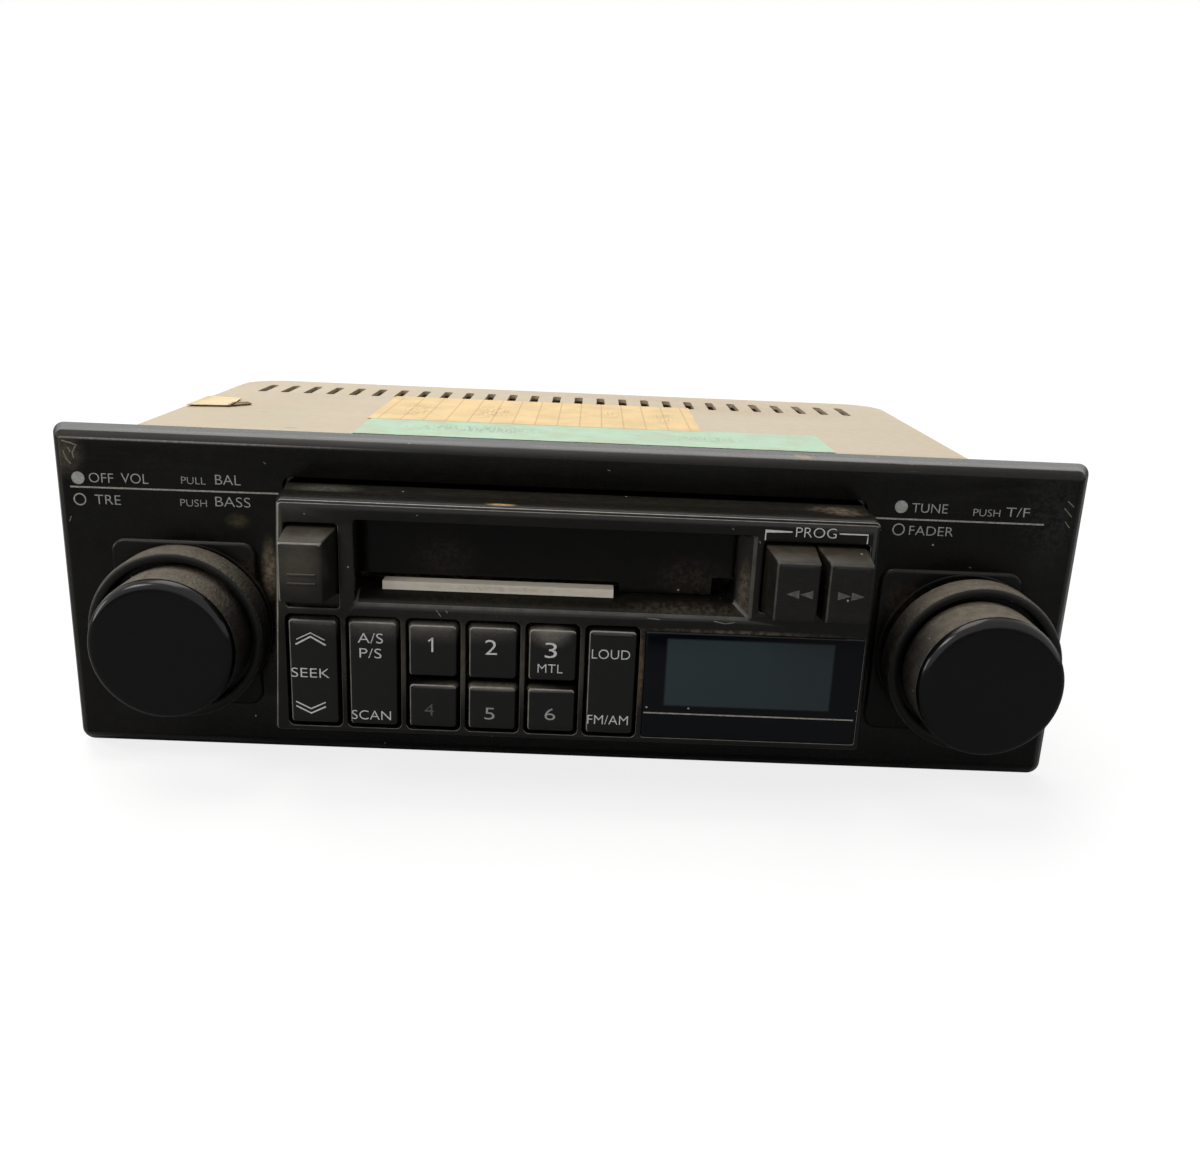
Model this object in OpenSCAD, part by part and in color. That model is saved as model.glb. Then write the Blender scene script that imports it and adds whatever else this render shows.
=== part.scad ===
// Car cassette stereo for a two-shaft dashboard opening.
// X runs to the right, Y to the back and Z up. All sizes are in millimetres.
// Heights and depths are written from the middle of the trim plate's front face, and every
// piece is then placed with the middle of the unit's footprint at the origin, standing on z = 0.

/* [Trim plate] */
// Width of the trim plate at its back edge
plate_w = 188; // [184:1:200]
// Height of the trim plate at its back edge
plate_h = 62.2; // [56:0.2:70]
// How far each end of the trim plate slopes in towards its face
plate_end_slope = 4.2; // [0:0.1:5]
// How far the lower edge of the trim plate slopes in towards its face
plate_low_slope = 4.6; // [0:0.1:5]
// Depth of the trim plate from its face to its back edge
plate_d = 9.2; // [7:0.2:11]
// Wall of the trim plate
plate_wall = 2.2; // [1.6:0.1:2.8]
// Bevel round the front edge of the trim plate
plate_bevel = 1.05; // [0.5:0.05:1.5]
// Corner radius of the trim plate
plate_r = 2.25; // [2:0.25:5]
// Width of the adapter pad round each shaft
pad_w = 25.5; // [23:0.5:27]
// Height of the adapter pad round each shaft
pad_h = 30.8; // [30:0.2:34]
// Distance between the middles of the two adapter pads
pad_span = 136.6; // [134:0.2:138]
// How far the adapter pads stand out of the trim plate
pad_proud = 0.6; // [0.3:0.1:0.8]
// Thickness of the adapter behind the plate's face
adapter_t = 3.6; // [3.2:0.1:4.4]

/* [Nosepiece] */
// Distance from the eject button to the left end of the nosepiece
nose_left = 2.15; // [2:0.05:3.5]
// Distance from the forward button to the right end of the nosepiece
nose_right = 2.75; // [2.2:0.05:3.5]
// Height of the nosepiece
nose_h = 40.7; // [40.5:0.1:44]
// Middle of the nosepiece, above the plate's middle
nose_z = 3.8; // [3.7:0.05:3.9]
// How far the nosepiece stands out of the trim plate
nose_out = 15.1; // [14.5:0.1:16]
// Side, top and bottom walls of the nosepiece
nose_wall = 1.2; // [1:0.1:1.3]
// Front wall of the nosepiece
nose_front = 2; // [1.6:0.1:2.2]
// Corner radius of the nosepiece
nose_r = 1; // [0.6:0.1:1.5]

/* [Chassis] */
// Width of the chassis
chassis_w = 177.7; // [174:0.1:178]
// Height of the chassis
chassis_h = 49.8; // [49:0.1:52]
// Depth of the chassis from its front wall to its back wall
chassis_d = 116.5; // [114:0.5:130]
// Middle of the chassis, to the right of the plate's middle
chassis_x = -4.8; // [-5.1:0.1:-4.5]
// Distance from the trim plate's face to the front wall of the chassis
chassis_back = 12; // [11.8:0.1:13]
// Thickness of the chassis sheet
sheet = 1; // [0.8:0.1:1.2]
// Radius of the two back corners
corner_r = 10; // [6:0.5:14]
// Vent slots in the top cover
vent_count = 27; // [15:1:27]
// Distance from one vent slot to the next
vent_pitch = 6; // [4.5:0.25:6]
// Length of a vent slot
vent_len = 14; // [8:0.5:16]
// Width of a vent slot
vent_w = 2.2; // [1.6:0.1:2.8]
// Distance from the back edge to the vent slots
vent_back = 10; // [8:0.5:14]
// Radius of the rear mounting stud
stud_r = 2.5; // [2:0.25:3]
// Length of the rear mounting stud past its nut
stud_len = 9.5; // [8:0.5:14]
// Radius of the side mounting holes
side_hole_r = 2.5; // [2:0.25:3]
// Distance between the two mounting holes in each side
side_hole_span = 40; // [36:1:44]
// Bore radius of the antenna socket
antenna_r = 4.6; // [4.2:0.1:5]
// Bore radius of the cable grommet
grommet_r = 4.5; // [4:0.1:5]

/* [Cassette slot] */
// Width of a cassette laid across the slot
tape_w = 63.8; // [63.4:0.1:64]
// Length of a cassette
tape_l = 100.4; // [100:0.1:101]
// Thickness of a cassette along its tape edge
tape_t = 12; // [11.8:0.1:12.1]
// Thickness of a cassette elsewhere
tape_thin = 8.7; // [8.5:0.1:9]
// Middle of the slot, to the right of the plate's middle
slot_x = -4; // [-4.2:0.1:-3.9]
// Middle of the cassette in the slot, above the plate's middle
tape_z = 14.9; // [14.8:0.05:14.9]
// Room left round the cassette
tape_gap = 0.2; // [0.1:0.05:0.3]
// How far the cassette carriage drops
tape_drop = 7; // [5.5:0.25:7]
// How far the head plate moves in towards the tape
head_travel = 6.4; // [6.2:0.1:7]
// Thickness of the cassette door
door_t = 1.2; // [0.8:0.1:1.3]

/* [Shafts and knobs] */
// Distance between the two control shafts
shaft_span = 139.7; // [138:0.1:140]
// Middle of the two shafts, to the right of the plate's middle
shaft_x = 1.75; // [1.5:0.05:2]
// Height of the shafts against the plate's middle
shaft_z = -3; // [-3.4:0.1:-2.6]
// Radius of the threaded bushings, three eighths of an inch across
bushing_r = 4.76; // [4.5:0.02:5]
// Radius of the inner shafts
inner_shaft_r = 2; // [1.8:0.05:2.1]
// Radius of the outer shafts
outer_shaft_r = 3; // [2.8:0.05:3.1]
// Radius of the two inner knobs
knob_r = 12.45; // [11.5:0.05:12.8]
// Radius of the two outer rings
ring_r = 15.25; // [14.8:0.05:15.6]
// Bore of the outer rings in front
ring_bore_r = 13.5; // [13.3:0.05:13.8]
// Length of the outer rings
ring_len = 5.3; // [5:0.1:6]
// How far the volume knob stands out of the trim plate
volume_out = 15; // [14.5:0.1:16]
// How far the tuning knob stands out of the trim plate
tuning_out = 17.9; // [17:0.1:19]
// Gap behind the tone ring, to the trim plate
tone_gap = 2.3; // [2.25:0.05:2.6]
// Gap behind the fader ring, to the trim plate
fader_gap = 4; // [3.6:0.1:4.4]
// Travel of the knobs and rings that push in
push_travel = 1.5; // [1:0.1:1.5]
// Travel of the volume knob when it is pulled
pull_travel = 2.5; // [1.5:0.1:2.5]

/* [Buttons] */
// Width of a key
key_w = 8.8; // [8.2:0.05:8.9]
// Distance from one key column to the next
key_pitch = 10; // [9.95:0.05:10]
// Distance from the left end of the nosepiece to the middle of the first key column
key_inset = 6.15; // [6.05:0.05:6.25]
// Top edge of the keys, above the plate's middle
key_top = 4.4; // [4:0.1:4.6]
// Bottom edge of the keys, against the plate's middle
key_bottom = -15; // [-15:0.1:-14.6]
// Height of the upper preset keys
preset_h = 9.9; // [9:0.1:10.2]
// How far the keys stand out of the nosepiece
key_proud = 0.6; // [0.4:0.1:1]
// Travel of a preset key
key_travel = 0.8; // [0.5:0.05:0.8]
// Angle that a rocker key tips each way
rocker_angle = 3; // [2:0.25:3]
// Width of a tape button
tape_key_w = 8.2; // [7.8:0.05:8.3]
// Height of a tape button
tape_key_h = 11.2; // [10.6:0.1:11.4]
// Middle of the tape buttons, above the plate's middle
tape_key_z = 14; // [13.9:0.05:14.1]
// How far the tape buttons stand out of the nosepiece
tape_key_out = 5.4; // [5.2:0.1:6]
// Travel of the tape buttons
tape_key_travel = 4.5; // [3:0.25:4.5]
// Bevel on the top and one side of the tape buttons
tape_key_bevel = 1.1; // [0.6:0.1:1.4]
// Web between the last key and the display window
window_web = 0.9; // [0.8:0.05:1.2]
// Height of the display window
window_h = 19.3; // [18.4:0.1:19.3]

/* [Tape drive] */
// Height of the deck plate's top face
deck_z = 0.4; // [0:0.1:0.4]
// Thickness of the deck plate
deck_t = 1.2; // [1:0.1:1.4]
// Radius of the flywheels
flywheel_r = 15.5; // [13:0.5:15.5]
// Radius of the motor pulley
pulley_r = 4; // [3:0.25:5]
// Radius of the motor
motor_r = 14; // [12:0.5:15]
// Height of the motor
motor_h = 21; // [16:0.5:22]
// Radius of the capstans
capstan_r = 1; // [0.8:0.05:1.2]
// Distance from one capstan to the other
capstan_span = 46; // [45:0.5:48]
// Radius of the pinch rollers
roller_r = 4.5; // [4:0.1:5]
// Thickness of the drive belt
belt_t = 1; // [0.8:0.1:1.4]
// Distance between the two tape spindles
spindle_span = 42.5; // [42:0.1:43]

/* [Hidden] */
$fn = 64;

// Clearances, each for one kind of fit
shaft_fit = 0.06;
slip_fit = 0.3;
key_gap = 0.35;
key_side_gap = 0.2;
thin_gap = 0.1;
// A cut runs this far past the face it opens
past = 1;

black_plastic = [0.09, 0.09, 0.09];
key_black = [0.05, 0.05, 0.06];
knob_grey = [0.2, 0.19, 0.17];
plated_steel = [0.72, 0.68, 0.6];
bright_steel = [0.75, 0.75, 0.77];
brass_yellow = [0.78, 0.66, 0.36];
board_green = [0.2, 0.36, 0.2];
board_brown = [0.55, 0.42, 0.24];
rubber_black = [0.07, 0.07, 0.07];
nylon_white = [0.88, 0.85, 0.78];
smoke = [0.12, 0.09, 0.07];

// Trim plate and adapters
pad_x = pad_span / 2;
pad_r = 2.5;
collar_r = 15.2;
collar_recess_r = 14.4;
collar_recess = 1;
nut_seat_r = 8.6;
nut_t = 1.8;
nut_r = 7.6;
nut_seat_y = adapter_t - 1.6;
// The adapter's body fills the plate's opening behind its pad
adapter_w = pad_w - 3;
adapter_h = pad_h - 3;

// Cassette slot, across
guide_wall = 1.2;
mouth_left = 0.95;
mouth_right = 2.4;
button_web = 1.8;
button_side = 0.7;
tape_key_gap = 0.3;
bay_x0 = slot_x - tape_w / 2 - tape_gap / 2;
bay_x1 = slot_x + tape_w / 2 + tape_gap / 2;
mouth_x0 = bay_x0 + mouth_left;
mouth_x1 = bay_x1 + mouth_right;
eject_x = bay_x0 - guide_wall - button_side - tape_key_w / 2;
rewind_x = mouth_x1 + button_web + tape_key_w / 2;
forward_x = rewind_x + tape_key_w + tape_key_gap;

// Nosepiece
nose_x0 = eject_x - tape_key_w / 2 - nose_left;
nose_x1 = forward_x + tape_key_w / 2 + nose_right;
nose_w = nose_x1 - nose_x0;
nose_x = (nose_x0 + nose_x1) / 2;
nose_z0 = nose_z - nose_h / 2;
nose_z1 = nose_z + nose_h / 2;
front_y = -nose_out;
inside_y = front_y + nose_front;
cavity_x0 = nose_x0 + nose_wall;
cavity_x1 = nose_x1 - nose_wall;
cavity_z0 = nose_z0 + nose_wall;
cavity_z1 = nose_z1 - nose_wall;

// Chassis
chassis_x0 = chassis_x - chassis_w / 2;
chassis_x1 = chassis_x + chassis_w / 2;
chassis_y0 = chassis_back;
chassis_y1 = chassis_back + chassis_d;
chassis_z0 = -chassis_h / 2;
chassis_z1 = chassis_h / 2;
floor_z = chassis_z0 + sheet;
lid_z = chassis_z1 - sheet;
wall_x0 = chassis_x0 + sheet;
wall_x1 = chassis_x1 - sheet;
back_y = chassis_y1 - sheet;
vent_shift = -2;
tab_w = 14;
tab_h = 6;
tab_left = 62;
tab_right = 46;
tab_x = [chassis_x - tab_left, chassis_x + tab_right];
screw_r = 1.25;
screw_head_r = 2.5;
screw_head_t = 1.2;
screw_drop = 4;
side_hole_z = -10;
side_hole_back = 68;
side_hole_y = chassis_y0 + side_hole_back;
antenna_side = 66;
antenna_x = chassis_x + antenna_side;
antenna_z = -9;
antenna_wall = 1.9;
antenna_len = 16;
antenna_lip = 1.4;
grommet_side = 58;
grommet_x = chassis_x - grommet_side;
grommet_z = -9;
grommet_wall = 1.5;
grommet_lip = 2;
grommet_flange = 3.5;
stud_z = 11;
stud_nut_t = 3;
stud_nut_r = 4.6;
stud_head_t = 2;

// Cassette slot
thick_floor = tape_z - tape_t / 2 - tape_gap;
thin_floor = tape_z - tape_thin / 2 - tape_gap;
roof_z = tape_z + tape_t / 2 + tape_gap;
lip_drop = 1.8;
lip_run = 3;
slot_back = 5.2;
slot_block_back = -5;
slot_floor_t = 2.6;
hinge_r = 0.9;
door_pin_r = 0.5;
hinge_z = roof_z + hinge_r;
hinge_y = -8.6;
door_x0 = bay_x0 + 0.2;
door_x1 = bay_x1 - 0.2;
door_foot = 0.35;
door_notch_w = 3.4;
door_notch_h = 3;
guide_inset = 5;
guide_len = 38.7;
guide_x0 = bay_x0 + guide_inset;
guide_x1 = guide_x0 + guide_len;
guide_back = -9.5;

// Deck and tape drive
deck_front = 4;
deck_shoulder = 24;
deck_left = 40;
deck_right = 62;
deck_y0 = chassis_y0 + deck_front;
deck_y1 = chassis_y1 - corner_r - 0.5;
deck_wide_y = chassis_y0 + deck_shoulder;
deck_x0 = slot_x - deck_left;
deck_x1 = slot_x + deck_right;
deck_under = deck_z - deck_t;
deck_flange = 7.6;
tape_y0 = 2;
tape_mid_y = tape_y0 + tape_l / 2;
capstan_inset = 7.4;
capstan_x = bay_x1 - capstan_inset;
capstan_y = [tape_mid_y - capstan_span / 2, tape_mid_y + capstan_span / 2];
capstan_top = thick_floor - 0.5;
spindle_inset = 34.8;
spindle_x = bay_x1 - spindle_inset;
spindle_y = [tape_mid_y - spindle_span / 2, tape_mid_y + spindle_span / 2];
spindle_top = thick_floor - 0.9;
spindle_pin_r = 1.5;
spindle_hub_r = 3.6;
spindle_fin_r = 4.6;
spindle_flange_r = 9;
spindle_flange_t = 1.4;
boss_r = 2.8;
boss_up = 1.4;
boss_down = 1.6;
flywheel_gap = 0.4;
flywheel_t = 5;
flywheel_top = deck_under - boss_down - flywheel_gap;
flywheel_under = flywheel_top - flywheel_t;
flywheel_hub = 1.2;
motor_side = 29.4;
motor_back = 30.8;
motor_x = capstan_x + motor_side;
motor_y = capstan_y[1] + motor_back;
motor_shaft_r = 1;
motor_shaft_up = 6;
belt_h = 1;
belt_z = flywheel_under + 1.6;
belt_gap = 0.1;
arc_step = 6;
// Place and radius of each pulley, with -1 where the belt runs on its outer face
pulleys = [
  [capstan_x, capstan_y[0], flywheel_r, 1],
  [motor_x, motor_y, pulley_r, 1],
  [capstan_x, capstan_y[1], flywheel_r, -1]
];

// Carriage
metal = 0.8;
carriage_end = 1.4;
carriage_y0 = slot_back - tape_gap;
carriage_y1 = tape_y0 + tape_l + carriage_end;
carriage_x0 = bay_x0 - thin_gap - metal;
carriage_x1 = bay_x1 + thin_gap + metal;
carriage_top = roof_z + metal;
carriage_front = 9;
carriage_rear = 15;
left_lip_w = 5;
right_lip_w = 6;
stop_w = 30;
post_r = 1.5;
post_top = lid_z - 0.5;
ear_r = 3.4;
ear_t = 2;
post_side = 3.8;
post_front = 14;
post_back = 42;
left_post_x = carriage_x0 - post_side;
right_post_x = carriage_x1 + post_side;
post_y = [tape_mid_y - post_front, tape_mid_y + post_back];
right_post_y = tape_mid_y + post_back;
spring_wire = 1.1;

// Head plate, drawn at rest, moved out of the tape's way
head_plate_t = 1;
head_plate_gap = 0.1;
head_plate_z = deck_z + head_plate_gap;
head_plate_top = head_plate_z + head_plate_t;
head_w = 12;
head_deep = 9;
head_nose_r = 9;
head_x0 = bay_x1 + 1.6;
head_z1 = roof_z - tape_drop - 0.6;
roller_x = capstan_x + capstan_r + roller_r + thin_gap + head_travel;
roller_pin_r = 1;
roller_top = head_z1 - 0.6;
roller_under = head_plate_top + 1.6;
head_plate_right = 22;
head_pin_side = 11;
head_plate_x0 = capstan_x + boss_r + 2 * thin_gap + head_travel;
head_plate_x1 = roller_x + head_plate_right;
head_plate_edge = 7;
head_pin_x = roller_x + head_pin_side;
head_pin_r = 1.2;
head_slot_r = head_pin_r + thin_gap;
head_pin_y = [capstan_y[0] + 2, capstan_y[1] - 2];

// Controls
knob_x = [shaft_x - shaft_span / 2, shaft_x + shaft_span / 2];
bushing_front = nut_seat_y - nut_t;
control_half = 10.5;
control_len = 20;
control_y0 = chassis_y0 + sheet;
control_y1 = control_y0 + control_len;
rotor_room_r = 8.1;
rotor_r = 7.8;
rotor_t = 3;
wall_y = control_y0 + 3;
partition_y = [wall_y + 4.5, wall_y + 6.5];
partition_r = outer_shaft_r + 0.5;
end_wall = 2;
front_rotor_y = wall_y + 0.4;
back_rotor_y = partition_y[1] + 0.9;
back_rotor_t = 4;
outer_end = front_rotor_y + rotor_t + 0.6;
inner_end = back_rotor_y + back_rotor_t + 1.6;
outer_flat = outer_shaft_r - 0.5;
inner_flat = inner_shaft_r - 0.5;
lug_count = 6;
lug_pitch = 3;
lug_w = 1;
lug_t = 0.5;
lug_h = 4;
lug_back = 8;
ring_floor = 1.9;
ring_edge = 0.5;
ring_boss_r = outer_shaft_r + 2;
ring_boss = 3.4;
knob_wall = 1.7;
knob_face = 1.8;
knob_edge = 1.4;
knob_hub_r = inner_shaft_r + 2.2;
knob_hub_room = 1.8;
knob_floor_room = 0.7;
shaft_grip = 4;
edge_steps = 5;

// Keys and tape buttons
key_front = front_y - key_proud;
key_back = inside_y + 3.5;
key_foot = inside_y + 4.1;
key_split = 0.7;
key_flange = 0.6;
key_side_flange = key_pitch / 2 - key_w / 2 - thin_gap;
key_flange_t = 1;
key_foot_h = 3;
key_flange_y = inside_y + thin_gap;
key_stem_r = 1.2;
rocker_pin_r = 0.8;
rocker_pin_y = inside_y + 1.7;
rocker_z = (key_top + key_bottom) / 2;
rocker_reach = 7;
rib_t = 1;
rib_half = 2.5;
rib_back = rocker_pin_y + 1.7;
switch_front = key_foot + key_travel + thin_gap;
switch_cap_r = 1.5;
switch_cap_t = 0.7;
switch_body = 5.6;
switch_body_t = 1.4;
board_front = switch_front + switch_cap_t + switch_body_t;
board_t = 1.6;
board_top = thick_floor - slot_floor_t - 0.5;
tape_key_front = front_y - tape_key_out;
tape_key_back = inside_y + 3.6;
tape_key_flange = 0.8;
tape_key_rim = 1;
stem_w = 3;
stem_h = 5;
stem_end = chassis_y0 - 1.5;
rib_w = 3.2;
rib_z = [0.2, -1.3];
rib_proud = 0.3;
rib_h = 0.35;
relief_h = 2.5;
relief_deep = 1.2;
window_side = 0.3;
window_x0 = key_column(5) + key_w / 2 + key_side_gap + window_web;
window_w = cavity_x1 - window_side - window_x0;
window_z1 = key_top - window_side;
window_t = nose_front - 0.3;
panel_t = 2;
panel_side = 2.2;
panel_x0 = window_x0 + panel_side;
panel_x1 = window_x0 + window_w - panel_side;
panel_z0 = window_z1 - window_h * 0.7;

// Main board
board_up = 4.3;
board_front_gap = 28;
board_back_gap = 4;
board_side = 8;
board_z = floor_z + board_up;
board_y0 = chassis_y0 + board_front_gap;
board_y1 = back_y - board_back_gap;
standoff_r = 2.5;
standoff_side = 12;
standoff_front = 8;
standoff_rear = 14;
can_r = 4;
can_h = 8;
can_pitch = 13;
can_side = 18;
can_back = 12;
tuner_w = 26;
tuner_l = 24;
tuner_h = 8;
tuner_side = 42;
tuner_back = 30;
chip_w = 20;
chip_l = 14;
chip_h = 3;
chip_side = 24;
amp_w = 24;
amp_t = 4.5;
amp_h = 18;
amp_side = 22;
amp_x = chassis_x + amp_side;

// Whole unit
unit_front = -max(tuning_out, nose_out + tape_key_out + rib_proud);
unit_back = chassis_y1 + stud_nut_t + stud_len;
unit_shift_y = -(unit_front + unit_back) / 2;
unit_shift_z = plate_h / 2;

function key_column(i) = nose_x0 + key_inset + i * key_pitch;

function arc_points(x, y, r, a0, a1, n) = [
  for (i = [0:n])
    let (a = a0 + (a1 - a0) * i / n)
    [x + r * cos(a), y + r * sin(a)]
];

// Direction of the belt's straight run from one pulley to the next
function run_angle(a, b, ra, rb) =
  let (dx = b[0] - a[0], dy = b[1] - a[1])
  atan2(dy, dx) - asin((b[3] * rb - a[3] * ra) / sqrt(dx * dx + dy * dy));

// Radius of the belt's inner or outer face round a pulley
function belt_radius(p, outer) =
  p[2] + belt_gap + ((p[3] > 0) == outer ? belt_t : 0);

function turn(a) = a - 360 * floor(a / 360);

function belt_path(outer) = [
  for (i = [0:len(pulleys) - 1])
    let (
      n = len(pulleys),
      p = pulleys[i],
      before = pulleys[(i + n - 1) % n],
      after = pulleys[(i + 1) % n],
      r = belt_radius(p, outer),
      a0 = run_angle(before, p, belt_radius(before, outer), r) - 90 * p[3],
      a1 = run_angle(p, after, r, belt_radius(after, outer)) - 90 * p[3],
      sweep = p[3] > 0 ? turn(a1 - a0) : -turn(a0 - a1)
    )
    each arc_points(p[0], p[1], r, a0, a0 + sweep, ceil(abs(sweep) / arc_step) + 1)
];

module placed() {
  translate([0, unit_shift_y, unit_shift_z]) children();
}

// A block between two ends on each axis
module block(x, y, z) {
  translate([x[0], y[0], z[0]]) cube([x[1] - x[0], y[1] - y[0], z[1] - z[0]]);
}

module rod_x(y, z, r, x) {
  translate([x[0], y, z]) rotate([0, 90, 0]) cylinder(h = x[1] - x[0], r = r);
}

module rod_y(x, z, r, y) {
  translate([x, y[0], z]) rotate([-90, 0, 0]) cylinder(h = y[1] - y[0], r = r);
}

module rod_z(x, y, r, z) {
  translate([x, y, z[0]]) cylinder(h = z[1] - z[0], r = r);
}

// A six-sided nut round an axis along Y
module hex_y(x, z, r, y) {
  translate([x, y[0], z]) rotate([-90, 0, 0]) cylinder(h = y[1] - y[0], r = r, $fn = 6);
}

// A solid of revolution round an axis along Y, from points of radius and depth
module turned_y(x, z, points) {
  translate([x, 0, z]) rotate([-90, 0, 0]) rotate_extrude() polygon(points);
}

// A shaft with one flat on its upper side
module flat_rod_y(x, z, r, flat, y) {
  difference() {
    rod_y(x, z, r, y);
    block([x - r, x + r], [y[0] - past, y[1] + past], [z + flat, z + r + past]);
  }
}

module rounded(w, h, r) {
  square([w - 2 * r, h], center = true);
  square([w, h - 2 * r], center = true);
  for (sx = [-1, 1])
    for (sy = [-1, 1])
      translate([sx * (w / 2 - r), sy * (h / 2 - r)]) circle(r = r);
}

// A slab that faces the front, with rounded corners
module slab_y(w, h, r, x, z, y) {
  translate([x, y[1], z]) rotate([90, 0, 0]) linear_extrude(y[1] - y[0]) rounded(w, h, r);
}

// Outline of the chassis seen from above, drawn in from its outer faces
module chassis_plan(inset) {
  x0 = chassis_x0 + inset;
  x1 = chassis_x1 - inset;
  y0 = chassis_y0 + inset;
  y1 = chassis_y1 - inset;
  translate([x0, y0]) square([x1 - x0, chassis_y1 - corner_r - y0]);
  translate([chassis_x0 + corner_r, y0]) square([chassis_w - 2 * corner_r, y1 - y0]);
  for (x = [chassis_x0 + corner_r, chassis_x1 - corner_r])
    translate([x, chassis_y1 - corner_r]) circle(r = corner_r - inset);
}

module chassis_frame() {
  color(plated_steel) placed() difference() {
    translate([0, 0, floor_z]) linear_extrude(lid_z - floor_z) difference() {
      chassis_plan(0);
      chassis_plan(sheet);
    }
    block(
      [cavity_x0, cavity_x1],
      [chassis_y0 - past, chassis_y0 + sheet + past],
      [cavity_z0, cavity_z1]
    );
    for (x = knob_x)
      rod_y(x, shaft_z, bushing_r + thin_gap, [chassis_y0 - past, chassis_y0 + sheet + past]);
    for (y = [side_hole_y - side_hole_span / 2, side_hole_y + side_hole_span / 2])
      rod_x(y, side_hole_z, side_hole_r, [chassis_x0 - past, chassis_x1 + past]);
    rod_y(antenna_x, antenna_z, antenna_r + antenna_wall, [back_y - past, chassis_y1 + past]);
    rod_y(grommet_x, grommet_z, grommet_r + grommet_wall, [back_y - past, chassis_y1 + past]);
    rod_y(chassis_x, stud_z, stud_r, [back_y - past, chassis_y1 + past]);
    for (x = tab_x)
      for (z = [lid_z - screw_drop, floor_z + screw_drop])
        rod_y(x, z, screw_r, [back_y - past, chassis_y1 + past]);
  }
}

// The four tabs of a cover, which lie inside the front and back walls
module cover_tabs(z, screw_z) {
  difference() {
    for (x = tab_x)
      block([x - tab_w / 2, x + tab_w / 2], [back_y - sheet, back_y], z);
    for (x = tab_x)
      rod_y(x, screw_z, screw_r, [back_y - sheet - past, back_y + past]);
  }
  for (x = [wall_x0, wall_x1 - tab_h])
    block([x, x + tab_h], [chassis_y0 + sheet, chassis_y0 + 2 * sheet], z);
}

module vent_slots() {
  for (i = [0:vent_count - 1])
    translate([
      chassis_x + vent_shift + (i - (vent_count - 1) / 2) * vent_pitch,
      chassis_y1 - vent_back - vent_len / 2
    ])
      rounded(vent_w, vent_len, vent_w / 2 - thin_gap);
}

module top_cover() {
  color(plated_steel) placed() {
    translate([0, 0, lid_z]) linear_extrude(sheet) difference() {
      chassis_plan(0);
      vent_slots();
    }
    cover_tabs([lid_z - tab_h, lid_z], lid_z - screw_drop);
  }
}

module bottom_cover() {
  color(plated_steel) placed() {
    translate([0, 0, chassis_z0]) linear_extrude(sheet) chassis_plan(0);
    cover_tabs([floor_z, floor_z + tab_h], floor_z + screw_drop);
    for (x = [wall_x0 + board_side + standoff_side, wall_x1 - board_side - standoff_side])
      for (y = [board_y0 + standoff_front, board_y1 - standoff_rear])
        rod_z(x, y, standoff_r, [floor_z, board_z]);
  }
}

module cover_screws() {
  color(bright_steel) placed()
    for (x = tab_x)
      for (z = [lid_z - screw_drop, floor_z + screw_drop]) {
        rod_y(x, z, screw_r, [back_y - 3 * sheet, chassis_y1]);
        rod_y(x, z, screw_head_r, [chassis_y1, chassis_y1 + screw_head_t]);
      }
}

// The plate's ends and lower edge slope in towards its face, and its top is flat. The form is
// drawn from y0 to the plate's back edge, with its sides moved in by a wall and its face bevelled.
module plate_form(y0, y1, wall, bevel) {
  slope_end = plate_end_slope / (plate_d - plate_bevel);
  slope_low = plate_low_slope / (plate_d - plate_bevel);
  function half_w(y) = plate_w / 2 - wall - slope_end * (plate_d - y);
  function low(y) = wall - plate_h / 2 + slope_low * (plate_d - y);
  top = plate_h / 2 - wall;
  intersection() {
    slab_y(plate_w - 2 * wall, plate_h - 2 * wall, plate_r - wall / 2, 0, 0, [y0, y1]);
    translate([-plate_w / 2, 0, 0]) rotate([90, 0, 90]) linear_extrude(plate_w)
      polygon([
        [y0, low(y0 + bevel) + bevel], [y0 + bevel, low(y0 + bevel)],
        [y1, low(y1)], [y1, top], [y0 + bevel, top], [y0, top - bevel]
      ]);
    translate([0, 0, -plate_h / 2]) linear_extrude(plate_h)
      polygon([
        [bevel - half_w(y0 + bevel), y0], [-half_w(y0 + bevel), y0 + bevel],
        [-half_w(y1), y1], [half_w(y1), y1],
        [half_w(y0 + bevel), y0 + bevel], [half_w(y0 + bevel) - bevel, y0]
      ]);
  }
}

module trim_plate() {
  color(black_plastic) placed() difference() {
    plate_form(0, plate_d, 0, plate_bevel);
    plate_form(plate_wall, plate_d + past, plate_wall, plate_bevel / 2);
    slab_y(
      nose_w + 2 * slip_fit, nose_h + 2 * slip_fit, nose_r + slip_fit,
      nose_x, nose_z, [-past, plate_d]
    );
    for (s = [-1, 1])
      slab_y(
        adapter_w, adapter_h, pad_r, s * pad_x, shaft_z, [-past, plate_d]
      );
  }
}

// A pad with a body that fills the plate's opening and carries the shaft's nut
module adapter(pad, shaft) {
  color(black_plastic) placed() difference() {
    union() {
      slab_y(pad_w, pad_h, pad_r, pad, shaft_z, [-pad_proud, 0]);
      rod_y(shaft, shaft_z, collar_r, [-pad_proud, 0]);
      slab_y(adapter_w, adapter_h, pad_r, pad, shaft_z, [0, adapter_t]);
    }
    rod_y(shaft, shaft_z, nut_seat_r, [-pad_proud - past, nut_seat_y]);
    rod_y(shaft, shaft_z, bushing_r + thin_gap, [-past, adapter_t + past]);
    difference() {
      rod_y(shaft, shaft_z, collar_recess_r, [-pad_proud - past, -pad_proud / 2]);
      rod_y(shaft, shaft_z, nut_seat_r + 1, [-pad_proud - 2 * past, past]);
    }
  }
}

module left_adapter() {
  adapter(-pad_x, knob_x[0]);
}

module right_adapter() {
  adapter(pad_x, knob_x[1]);
}

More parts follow.
